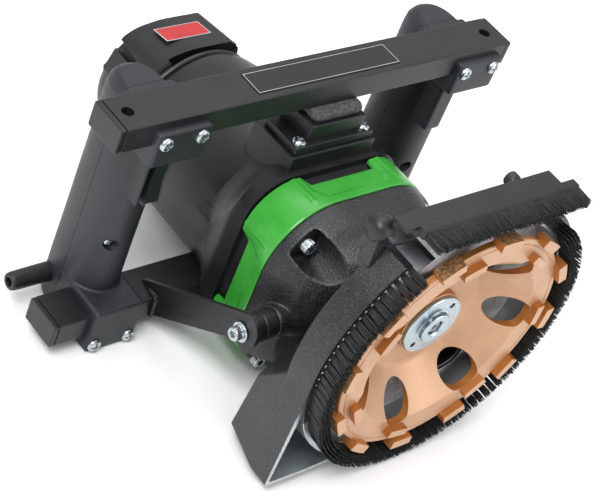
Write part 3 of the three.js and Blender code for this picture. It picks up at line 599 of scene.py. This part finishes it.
for word, side in SIDES:
    socket_screw(f"arm_screw_{word}", (side * 132.2, *ARM_BOLT), OUTWARD[side], True,
                 [f"arm_bolt_{word}"])
    sleeve = [(4.4, 0), (4.4, 26.2), (13.2, 26.2), (14, 25.4), (14, 14), (13.4, 13.2), (14, 12.4),
              (14, 0.8), (13.2, 0)]
    turned = spin(sleeve, (side * 98.4, *ARM_BOLT), OUTWARD[side], 64, loop=True)
    bush = shell(f"arm_bush_sleeve_{word}", turned)
    finish(bush, SOFT_RUBBER, nodes=[f"arm_bush_{word}"])
    for spot, step in (("outer", side), ("inner", -side)):
        for level, b in (("upper", 98.5), ("lower", -137.5)):
            centre = (side * GRIP_A + step * 18.6, b, CLAMP_FRONT + 0.5)
            pan_screw(f"clamp_screw_{level}_{word}_{spot}", centre, "s", 6.7, 3.3,
                      [f"screw_{level}_{word}_{spot}"])


# ---- Grips ----

def grip(side):
    """Column with the section |x/25|^2.3 + |y/37|^2.3 = 1, drawn in at both ends, with its two
    clamp blocks and the pad or rib at its trigger's height, melted into one moulding."""
    t = np.arange(96) * 2 * math.pi / 96
    power = 2 / 2.3
    u = np.sign(np.cos(t)) * abs(np.cos(t)) ** power * 25
    v = np.sign(np.sin(t)) * abs(np.sin(t)) ** power * 37
    rows = [(-146, 0.9), (-143.5, 0.965), (-139, 1), (-100, 1), (-40, 0.985), (40, 0.985), (88, 1),
            (99, 0.97), (106, 0.86), (110, 0.7)]
    rings = np.stack([place(side * GRIP_A + u * k, b, GRIP_S + v * k) for b, k in rows])
    a = side * GRIP_A
    blocks = [slab(box_outline(a - 28, a + 28, 73, 109, 3), GRIP_S, CLAMP_FRONT, 2.4, "ab"),
              slab(box_outline(a - 26, a + 26, -146, -98, 3), GRIP_S, CLAMP_FRONT, 2.6, "ab")]
    if side > 0:
        blocks.append(slab(box_outline(a - 19, a + 1, 16, 78, 2), -125, -103, 2.5, "ab"))
    else:
        blocks.append(slab(box_outline(-188, -184.6, 14, 78, 1.2), -125, -104.5, 1.2, "ab"))
    return melt(shell(f"grip_{side}", grid(rings, ends=True), *blocks), 1.2, 3)


def grip_half(whole, name, s0, s1, tools, nodes):
    """The part of a grip between two planes across s, with its openings cut."""
    half = whole.copy()
    half.data, half.name = whole.data.copy(), name
    bpy.context.scene.collection.objects.link(half)
    keep = shell("keep", slab(box_outline(-260, 260, -200, 200, 1), s0, s1, 0.1, "ab"))
    carve(half, keep, how="INTERSECT")
    if tools:
        carve(half, *tools)
    finish(half, NYLON, nodes=nodes, sharp=45)


for word, side in SIDES:
    whole = grip(side)
    screw_a = -186 if side < 0 else 170
    pocket = [drill((screw_a, POCKET_B, 0), "s", 6.2, -128, -90)]
    if side < 0:
        window = box_outline(-181.5, -164.5, 15.4, 66.6, 2)
        pocket.append(shell("window", slab(window, -142, -95, 0.4, "ab")))
    rear_tools = [drill((-165, *CORD), "-a", 9.6, 0, 60)] if side < 0 else []
    grip_half(whole, f"grip_shell_{word}_front", -149.8, -60, pocket, [f"grip_{word}_front"])
    grip_half(whole, f"grip_shell_{word}_rear", -260, -150.2, rear_tools, [f"grip_{word}_rear"])
    bpy.data.objects.remove(whole)
    pan_screw(f"grip_pocket_screw_{word}", (screw_a, POCKET_B, -122.5), "s", 4.8, 2.4, [])

tapered = rounded([(4.5, 0), (9.1, 0), (9.1, 10), (8.9, 40), (8.6, 50), (7.6, 52.8), (4.6, 52.8),
                   (4.5, 52.0)], 1.2)
with_bore = np.concatenate([tapered, [(4.4, 30.0)]])
cable_sleeve = shell("cable_sleeve", spin(with_bore, (-187, *CORD), "-a", 64, loop=True))
finish(cable_sleeve, SOFT_RUBBER, nodes=["cord_sleeve"])


def finger_pull():
    """Trigger: its front face is hollowed for a finger by 2.2 cos^2 over its height."""
    low, high, middle = 16, 66, 41
    b = np.linspace(low, high, 41)
    hollow = np.cos(np.pi * (b - middle) / (high - low)) ** 2 * (abs(b - middle) < 25)
    depth = -103 - 2.2 * hollow
    front = np.stack([depth, b], -1)
    outline = fillet(np.concatenate([[(-121, low)], front, [(-121, high)]]),
                     np.concatenate([[1.0, 2.5], np.full(39, 0.2), [2.5, 1.0]]))
    obj = shell("finger_trigger", slab(outline[::-1], -181, -165, 1.2, "sb"))
    finish(obj, SMOOTH_NYLON, "trigger_body", ["trigger"])


finger_pull()

# ---- Damper and its foot ----

foot = shell("damper_foot", slab(box_outline(-46, 46, -124, -79, 2), 57.3, 65, 0.8, "as"),
             slab(box_outline(-31, 31, -124, -84, 1.5), 64, 74, 0.8, "as"),
             slab(box_outline(-32, 32, -124, -83, 1.5), 73.4, 83, 0.8, "as"))
finish(foot, POWDER, nodes=["damper"])


def cushion():
    """Rubber strip squeezed between tube and foot: its sides stand out by 2.4 sin(pi t) - 0.8
    over its height t."""
    outline = box_outline(-26, 28, -122, -87, 5)
    rings = []
    for step in np.linspace(0, 1, 9):
        bulge = 2.4 * math.sin(math.pi * step) - 0.8
        a, s = inset(outline, -bulge).T
        rings.append(place(a, 82.5 + 10.0 * step, s))
    obj = shell("damper_rubber", grid(np.stack(rings), ends=True))
    finish(obj, RUBBER, sharp=60)


cushion()
for word, side in SIDES:
    pan_screw(f"foot_screw_{word}", (side * 38, 65.2, -86.5), "b", 6.4, 3.4, [f"pad_screw_{word}"])

# ---- Motor ----

def motor_barrel():
    """Turned barrel with a square flange at its front, a pad for the damper's foot on top and
    room for the lower tube cut in its underside."""
    profile = rounded([(0, -252), (73.7, -252), (78, -236), (83.5, -212), (84.5, -150), (84.5, -96),
                       (84.5, -70.5), (0, -70.5)], 5)
    obj = shell("motor_barrel", spin(profile, MOTOR, "s", 128))
    flare = [(-118, 83, 78), (-108, 84, 74), (-98, 86, 64), (-90, 88.6, 50), (-84, 90, 42),
             (-69, 90, 41)]
    flange = shell("flange", loft([(round_square(half, corner, steps=20), s)
                                   for s, half, corner in flare]))
    pad = shell("pad", slab(box_outline(-50, 50, -132, -76, 2), 20, 57, 1.0, "as"))
    carve(obj, flange, pad, how="UNION")
    room = box_outline(-120, 120, -140.5, -92.5, 2)
    carve(obj, shell("tube_room", slab(room, -200, -104, 0.5, "as")))
    finish(edge(obj, 1.1), SMOOTH_NYLON, nodes=["motor_housing"])


motor_barrel()


def ridge(top):
    """Section of the cap's raised back: flat at the given height, sloping away at both sides."""
    return fillet([(50, -14), (41, top - 5), (35, top), (-12, top), (-36, top - 4.5),
                   (-52, top - 14), (-64, -34)], [4, 3, 3, 8, 8, 8, 4])


def cap_top(s):
    """Height of the raised back, which rises 8 mm in 58."""
    return 17.4 + 8 * (s + 318) / 58


def cap():
    """Domed cap: a turned shell with a raised flat-topped back, two pockets, an arched slot and
    ten vents."""
    profile = rounded([(0, -330), (42, -330), (55, -326.5), (63, -318), (67.5, -300), (71, -276),
                       (73.6, -252.4), (0, -252.4)], 6, 5)
    obj = shell("motor_cap", spin(profile, MOTOR, "s", 128))
    back, front = ridge(cap_top(-318)), ridge(cap_top(-260))
    crown = shell("crown", loft([(inset(ridge(17), 3), -321), (back, -318), (front, -260),
                                 (inset(front, 2), -258)]))
    carve(obj, crown, how="UNION")
    tools = [shell("slot", spin([(60, -263), (60, -257), (80, -257), (80, -263)], MOTOR, "s", 48,
                                turn=(58, 122)))]
    for angle in (40, 140):
        t = math.radians(angle)
        centre = (66 * math.cos(t), MOTOR_B + 66 * math.sin(t), 0)
        tools.append(drill(centre, "s", 6.5, -340, -288))
    for step in range(10):
        t = math.radians(36 * step + 18)
        u, v = np.array([math.cos(t), math.sin(t)]), np.array([-math.sin(t), math.cos(t)])
        corners = [u * 22 - v * 2.4, u * 47 - v * 2.4, u * 47 + v * 2.4, u * 22 + v * 2.4]
        outline = fillet([(c[0], c[1] + MOTOR_B) for c in corners], 2)
        tools.append(shell("vent", slab(outline, -340, -322, 0.2, "ab")))
    carve(obj, *tools)
    finish(edge(obj, 0.9), SMOOTH_NYLON, nodes=["rear_cap"])


cap()


def sticker(name, left, right, back, front, lift, look):
    """Thin sheet lying on the cap's sloping back."""
    sheets = [(box_outline(left, right, cap_top(s) - 0.2, cap_top(s) + lift, 0.05), s)
              for s in (back, front)]
    finish(shell(name, loft(sheets)), look)


sticker("blank_label", -29, 22, -303, -283, 0.4, LABEL)
sticker("blank_label_edge", -30, 23, -304, -282, 0.3, BORDER)

# ---- Vent ring ----

def around(half, corner, count=480):
    """The round square's point at each of count equal angles about the motor axis."""
    outline = round_square(half, corner)
    x, z = path_through(np.concatenate([outline, outline[:1]]), 4000).T
    z = z - MOTOR_B
    angle = np.arctan2(z, x) % (2 * math.pi)
    order = np.argsort(angle)
    t = np.arange(count) * 2 * math.pi / count
    r = np.interp(t, angle[order], np.hypot(x, z)[order], period=2 * math.pi)
    return np.stack([r * np.cos(t), r * np.sin(t) + MOTOR_B], -1)


def side_distance(outline):
    """How far along its side each point of a round square stands, from the side's middle."""
    x, z = outline[:, 0], outline[:, 1] - MOTOR_B
    return np.where(abs(x) > abs(z), abs(z), abs(x))


def smooth_step(value, low, high):
    """3t^2 - 2t^3, t running from 0 at low to 1 at high."""
    t = np.clip((value - low) / (high - low), 0, 1)
    return t * t * (3 - 2 * t)


def vent_ring():
    """Moulded ring, radius blended from back to front. Between its corner tabs the back edge
    stands 11.5 mm forward and the skin is sunk 2 mm inside a U-shaped border; the tabs carry a
    rib 1 mm high."""
    start, width, step = -67, 41, 11.5
    back, front = around(90, 45), around(96, 65)
    along = np.linspace(0, 1, 46)[:, None]
    reach = side_distance(back)[None, :]
    notch = 1 - smooth_step(reach, 38, 41.5)
    s = start + step * notch + (width - step * notch) * along
    level = (s - start) / width
    border = smooth_step(reach + 8 * smooth_step(level, 0.4, 0.8), 40, 44)
    panel = (1 - border) * (1 - smooth_step(s, -37.5, -34.5))
    rib = smooth_step(reach, 47, 49) * (1 - smooth_step(reach, 51, 54))
    rib = rib * (1 - smooth_step(s, -36, -32))
    lift = -2.0 * panel + 1.0 * rib - 0.4
    outer = back[None] * (1 - level[..., None]) + front[None] * level[..., None]
    gap = outer - np.array([0.0, MOTOR_B])
    outward = gap / np.linalg.norm(gap, axis=-1, keepdims=True)
    front_edge = 0.9 * smooth_step(along, 0.965, 1.0)
    skin = outer + outward * (lift - front_edge)[..., None]
    inner = outer - outward * 4.5
    shape = np.concatenate([skin, inner[::-1]])
    depth = np.concatenate([s, s[::-1]])
    obj = shell("green_vent_ring", grid(place(shape[..., 0], shape[..., 1], depth), loop=True))
    finish(obj, GREEN, nodes=["vent_ring"], sharp=38)


vent_ring()

# ---- Gearbox ----

def gearbox():
    """Cast housing: rounded squares carried forward, shrinking and rising from the motor axis to
    the spindle axis, with side bosses and shield-shaped screw pockets, melted into one casting."""
    stations = [(-25.7, 95.2, 64.5, -48), (-14, 94.2, 63, -48), (0, 90.5, 62, -46.5),
                (12, 84, 60, -43.5), (24, 73, 56, -33), (34, 61, 51, -20.5), (43, 51, 47, -8),
                (50, 45.5, 44.5, -2), (58, 43.2, 42.4, 0), (76, 42.8, 42.2, 0)]
    rings = [(round_square(half, corner, middle), s) for s, half, corner, middle in stations]
    obj = shell("gearbox_casting", loft(rings))
    shield = [(10, -15), (10, 15), (-3, 18), (-14, 8), (-14, -8), (-3, -18)]
    pockets = []
    for side in (-1, 1):
        for b, rise in ((SCREW_TOP, 1), (SCREW_LOW, -1)):
            corners = [(side * (SCREW_A + (u - v) * 0.707), b + rise * (u + v) * 0.707)
                       for u, v in shield]
            corners = corners if side * rise > 0 else corners[::-1]
            pockets.append(shell("pocket", slab(fillet(corners, 5), -13, 70, 0.3, "ab")))
    carve(obj, *pockets)
    bosses = []
    for side, axis in OUTWARD.items():
        profile = rounded([(0, 40), (24, 40), (17.5, 78), (15, 84), (15, 97.6), (0, 97.6)], 2)
        bosses.append(shell("boss", spin(profile, (0, *ARM_BOLT), axis, 64)))
    carve(obj, *bosses, how="UNION")
    melt(obj, 1.4, 5)
    finish(obj, STRUCTURE, nodes=["gear_housing"], sharp=60)


gearbox()
for level, b in (("upper", SCREW_TOP), ("lower", SCREW_LOW)):
    for word, side in SIDES:
        socket_screw(f"gearbox_screw_{level}_{word}", (side * SCREW_A, b, -12.6), "s", False,
                     [f"housing_bolt_{level}_{word}"])

# ---- Dust hood ----

def off_axis(c):
    """Distance of face centres from the spindle axis."""
    return np.hypot(c[0], c[1])


def faced(c, n):
    """The rim at the lower left and the lip inside the brush, both turned after casting."""
    return ((n[2] > 0.7) & (c[2] > 105.0) & (c[0] < -20) & (c[1] < -60)
            | (off_axis(c) < 129.4) & (off_axis(c) > 126) & (c[2] > 81))


def plate_front(c, n):
    return (n[2] > 0.5) & (c[2] < 82) & (c[2] > 79) & (off_axis(c) < 126.6)


def chute_inside(c, n):
    """Walls of the chute that face its middle."""
    return ((off_axis(c) > 128) & (c[0] < -60) & (c[1] < -20) & (c[2] > 44) & (c[2] < 105.6)
            & (n[0] * (c[0] + 118) + n[1] * (c[1] + 100) < 0))


def hood():
    """Turned band, back plate and inner lip, cut level at the top, with the mouth for the dust
    port cut and the dust chute and the hinge lugs added."""
    ring = [(43.3, 76.2), (144.5, 76.2), (146, 77.7), (146, 105.4), (145.4, 106), (141.6, 106),
            (141, 105.4), (141, 82), (129, 82), (129, 105.6), (126.8, 105.6), (126.5, 105.2),
            (126.5, 80), (43.3, 80)]
    obj = shell("cast_dust_hood", spin(ring, sides=192, loop=True))
    chute = [([(-100, -40), (-128, -68), (-136, -130), (-120, -135), (-70, -132)], 40),
             ([(-100, 6), (-144, -12), (-145.6, -135.6), (-100, -137), (-62, -136)], 84),
             ([(-100, 6), (-145.8, -12), (-146, -136), (-100, -137), (-62, -136)], 106)]
    room = [([(-104, -66), (-124, -78), (-131, -124), (-118, -129), (-88, -127)], 44.5),
            ([(-100, -30), (-141, -46), (-142.6, -132), (-100, -133.2), (-72, -132)], 107)]
    body = shell("chute", loft([(fillet(o, 4), s) for o, s in chute]))
    inside = shell("inside", spin([(0, 80.2), (128.4, 80.2), (128.4, 112), (0, 112)], sides=160))
    hollow = shell("hollow", loft([(fillet(o, 3), s) for o, s in room]))
    carve(body, hollow)
    carve(body, inside)
    carve(obj, body, how="UNION")
    mouth = drill((*PORT_SPOT, 0), "s", 23, 30, 90, 64)
    level = shell("level", slab(box_outline(-220, 220, HOOD_CUT, 300, 1), 60, 130, 0.1, "ab"))
    carve(obj, mouth, level)
    lugs = []
    for a0, a1 in ((-113, -104), (81, 90)):
        outline = fillet([(69.5, 95), (84, 95), (81.5, 128), (75.5, 134), (69.5, 128)],
                         [2, 2, 4, 6, 4])
        lugs.append(shell("lug", slab(outline, a0, a1, 1.0, "sb")))
    carve(obj, *lugs, how="UNION")
    edge(obj, 0.7)
    finish(obj, STRUCTURE, nodes=["dust_hood"])
    repaint(obj, MACHINED, faced)
    repaint(obj, SAND_CAST, plate_front)
    # The chute's inner walls take the darker grey, partly painted shade of the hollow.
    repaint(obj, BARE_CAST, chute_inside)


hood()
dome = rounded([(0, -10), (10.5, -9), (12.5, 2), (9, 9.5), (0, 11.5)], 5, 6)
finish(shell("pivot_dome", spin(dome, (-105, 127, 73), "-a", 64)), SMOOTH_NYLON)
port = rounded([(17, 79.5), (17, 37), (20, 37), (20, 70.7), (27, 70.7), (27, 75.7), (20, 75.7),
                (20, 79.5)], 0.8)
finish(shell("dust_port_spigot", spin(port, (*PORT_SPOT, 0), sides=72, loop=True)), STRUCTURE,
       nodes=["dust_port"])


def on_arc(radius, angle, s):
    """Points about the spindle axis, one to a row."""
    spots = [radius * np.cos(angle), radius * np.sin(angle), np.full_like(angle, s)]
    return np.stack(spots, -1).reshape(-1, 3)


def brush():
    """92 tufts on an arc: each is 5 by 9 strands, close at the root and spread to the pitch at
    the tip, in an aluminium carrier strip."""
    opening = math.degrees(math.asin((HOOD_CUT - 2) / 138.0))
    first, last = 180 - opening, 360 + opening
    count = 92
    middle = np.radians(np.linspace(first + 1.5, last - 1.5, count))[:, None, None]
    row = np.linspace(130.8, 139.4, 5)[None, :, None]
    width = np.linspace(-1, 1, 9)[None, None, :]
    pitch = math.radians((last - first) / count)
    roots = on_arc(row, middle + width * pitch * 0.25 + row * 0, 98.0)
    tips = on_arc(130.4 + (row - 130.8) * 1.42, middle + width * pitch * 0.37 + row * 0, 123.2)
    obj = shell("brush_ring_bristles", strands(roots, tips, 0.55, (0.35, 0.35, 0.5)))
    finish(obj, BRISTLE, nodes=["brush_ring"], sharp=70)
    carrier = [(129.6, 84), (129.6, 105.6), (130.2, 106.2), (140, 106.2), (140.6, 105.6),
               (140.6, 84)]
    base = shell("brush_ring_carrier", spin(carrier, sides=180, turn=(first + 0.4, last - 0.4)))
    finish(base, MACHINED)


brush()

# ---- Edge flap ----

def flap():
    """Bent sheet with its two hinge knuckles and its knob, and the strip of 62 tufts, each 5 by 5
    strands, in its holder."""
    outline = fillet([(78, 113), (81.5, 113), (81.5, 141), (96, 141), (96, 144.5), (78, 144.5)],
                     [0.6, 0.6, 1.5, 0.6, 0.6, 1.5])
    obj = shell("edge_flap_sheet", slab(outline, -103, 80, 0.4, "sb"))
    knuckle = rounded([(0, 0), (5, 0), (5, 14), (0, 14)], 0.6)
    knuckles = shell("edge_flap_knuckles", *[spin(knuckle, (a, *HINGE), "a", 48)
                                             for a in (-103, 66)])
    knob = rounded([(0, 79), (5.5, 79), (5.5, 71), (7, 68), (7, 62), (5.8, 60.4), (0, 60.4)], 1.2)
    finish(obj, POWDER, "edge_flap_body", ["edge_flap"])
    finish(knuckles, POWDER, "edge_flap_body")
    finish(shell("edge_flap_knob", spin(knob, (56, HINGE[0], 0), "s", 64)), SMOOTH_NYLON,
           "edge_flap_body")
    strip = fillet([(96.2, 138), (103.5, 138), (105, 138.8), (105, 146.2), (103.5, 147),
                    (96.2, 147)], 0.5)
    holder = shell("edge_brush_strip", slab(strip, -91, 92, 0.4, "sb"))
    finish(holder, SMOOTH_NYLON, "edge_flap_body", ["edge_brush_holder"])
    count = 62
    tufts = np.linspace(-88.5, 89.5, count)[:, None, None]
    a = (tufts + np.linspace(-1.15, 1.15, 5)[None, :, None] + np.zeros((1, 1, 5))).ravel()
    b = (np.zeros((count, 5, 1)) + np.linspace(139.4, 145.6, 5)[None, None, :]).ravel()
    lean = np.repeat(rng.normal(0, 0.5, count), 25)
    roots = np.stack([a, b, np.full(a.size, 104.0)], -1)
    tips = np.stack([a + lean, b - 0.8 + (b - 142.5) * 0.12, np.full(a.size, 122.6)], -1)
    obj = shell("edge_brush_bristles", strands(roots, tips, 0.5, (0.4, 0.35, 0.55)))
    finish(obj, BRISTLE, "edge_flap_body", ["edge_bristles"], sharp=70)


flap()

# ---- Cup wheel, nut and spindle end ----

def ground_back(c, n):
    """Outward faces of the outer segments, where the grit is laid bare."""
    return ((n[0] * c[0] + n[1] * c[1] > 0.75 * off_axis(c)) & (off_axis(c) > 122.0)
            & (c[2] < 124.3))


def wheel():
    """Turned cup with 7 holes through its cone, and 12 outer and 7 inner segments on its rim."""
    profile = [(7.3, 81), (50, 81), (58, 81.4), (95, 110.6), (117.4, 110.8), (118.4, 111.8),
               (118.4, 116.6), (117.6, 117.5), (113.6, 117.5), (113.2, 117.0), (112.4, 117.0),
               (112, 117.5), (94, 117.5), (92, 116.6), (60, 86), (54, 83.4), (33, 83.2),
               (32.6, 83.6), (32.6, 90.2), (32, 90.8), (7.3, 90.8)]
    obj = shell("cup_wheel_body", spin(profile, sides=168, loop=True))
    holes = [math.radians(1 + 360 * k / 7) for k in range(7)]
    carve(obj, *[drill((82 * math.cos(t), 82 * math.sin(t), 0), "s", 17, 60, 140, 56)
                 for t in holes])
    edge(obj, 0.5)
    finish(obj, ENAMEL, "wheel_spindle", ["cup_wheel"])
    outer = 120.1
    rows = [(12, outer, 25.0, 9.4, 0.92, 111.5), (7, 103.0, 24.5, 8.5, 0.05, 115.5)]
    for count, radius, length, width, turn, root in rows:
        chunks = []
        for k in range(count):
            t = 2 * math.pi * (k + turn) / count
            u, v = np.array([math.cos(t), math.sin(t)]), np.array([-math.sin(t), math.cos(t)])
            back, ahead, half = radius - width / 2, radius + width / 2, length / 2
            nose = ahead - (half ** 2) / (2 * ahead)
            corners = [u * back - v * (half - 1), u * nose - v * half, u * ahead,
                       u * nose + v * half, u * back + v * (half - 1)]
            chunks.append(slab(fillet(corners, [0.8, 0.8, 8, 0.8, 0.8]), root, 125, 0.5, "ab"))
        obj = shell(f"segments_{count}", *chunks)
        finish(obj, ENAMEL, "wheel_spindle")
        if radius == outer:
            repaint(obj, GRIT, ground_back)


wheel()


def nut():
    """Round flange nut, turned, with two pin holes."""
    profile = [(7.5, 91), (30.6, 91), (31.2, 91.6), (31.2, 94), (30.6, 94.6), (18.4, 94.6),
               (17.6, 95), (16, 95.2), (15.6, 95.6), (15.6, 98.9), (15, 99.4), (9.2, 99.4),
               (7.6, 98.2)]
    obj = shell("round_flange_nut", spin(profile, sides=120, loop=True))
    carve(obj, *[drill((24 * math.cos(t), 24 * math.sin(t), 0), "s", 3.1, 90, 110, 24)
                 for t in np.radians([52, 232])])
    finish(edge(obj, 0.25), TURNED_ZINC, "wheel_spindle", ["flange_nut"])


nut()


def spindle_end():
    """Spindle with its 14 mm thread, radius 6.35 + 0.6 |sawtooth| at a 2 mm pitch, and a centre
    hole."""
    s = np.linspace(82, 96.4, 60)
    saw = abs((s / 2.0) % 1 - 0.5) * 2
    thread = np.stack([6.35 + 0.6 * saw, s], -1)
    profile = np.concatenate([[(0, -34), (8.5, -34), (8.5, -19), (10, -19), (10, 40), (11, 40),
                               (11, 79.7), (22, 79.7), (22, 81.6), (7, 81.6)], thread,
                              [(5.6, 97), (2.6, 97), (1.8, 94), (0, 93)]])
    finish(shell("threaded_spindle", spin(profile, sides=72)), GROUND, "wheel_spindle", ["spindle"])


spindle_end()

# ---- Frame pieces that keep their shape ----

KEPT = {"stator": IRON, "armature": IRON, "carbon_brush_left": CARBON, "carbon_brush_right": CARBON,
        "motor_bearing_rear": GROUND, "motor_bearing_front": GROUND, "motor_pinion": GROUND,
        "spindle_gear": GROUND, "spindle_bearing_rear": GROUND, "spindle_bearing_front": GROUND,
        "bearing_plate": SMOOTH_NYLON, "switch_body": SMOOTH_NYLON, "trigger_spring": GROUND}
for name, look in KEPT.items():
    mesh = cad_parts[name].data
    mesh.materials.clear()
    mesh.materials.append(look)

# ---- Floor, light and camera ----

def floor():
    look, tree, shader, spot = blank("pale studio floor")
    drift = noise(tree, spot, 400.0, 2.0)
    colour = ramp(tree, drift, 0.3, 0.7, linear("#f3f3f3"), linear("#f7f7f7"))
    feed(tree, shader, {"Base Color": colour, "Roughness": 0.8})
    half = 5.0
    mesh = bpy.data.meshes.new("floor")
    mesh.from_pydata([(-half, -half, 0), (half, -half, 0), (half, half, 0), (-half, half, 0)], [],
                     [(0, 1, 2, 3)])
    mesh.materials.append(look)
    new_object("floor", mesh)


def softbox(name, spot, target, size, power):
    data = bpy.data.lights.new(name, "AREA")
    data.shape, data.size, data.size_y, data.energy = "RECTANGLE", size[0], size[1], power
    obj = new_object(name, data)
    away = (Vector(spot) - Vector(target)).normalized()
    obj.matrix_world = Matrix.Translation(spot) @ away.to_track_quat("Z", "Y").to_matrix().to_4x4()


floor()
softbox("key", (-1.3, -0.4, 1.9), (0, -0.05, 0.12), (1.2, 0.8), 38)
softbox("top", (0.2, 0.5, 2.0), (0, 0, 0.1), (1.6, 1.2), 15)
softbox("front", (0.9, -1.9, 0.9), (0, -0.1, 0.12), (1.2, 1.2), 16)
world = bpy.data.worlds.new("studio")
world.use_nodes = True
world.node_tree.nodes["Background"].inputs["Color"].default_value = linear("#fbfbfb")
world.node_tree.nodes["Background"].inputs["Strength"].default_value = 0.8
bpy.context.scene.world = world
bpy.context.scene.view_settings.view_transform = "Standard"

lens = bpy.data.cameras.new("camera")
lens.sensor_width, lens.lens, lens.clip_start = 36.0, 112.85, 0.05
camera = new_object("camera", lens)
camera.matrix_world = Matrix(((0.743, 0.2227, -0.6312, -1.0761),
                              (-0.5902, 0.6628, -0.4609, -0.8301),
                              (0.3157, 0.7149, 0.6239, 1.1632), (0, 0, 0, 1)))
bpy.context.scene.camera = camera
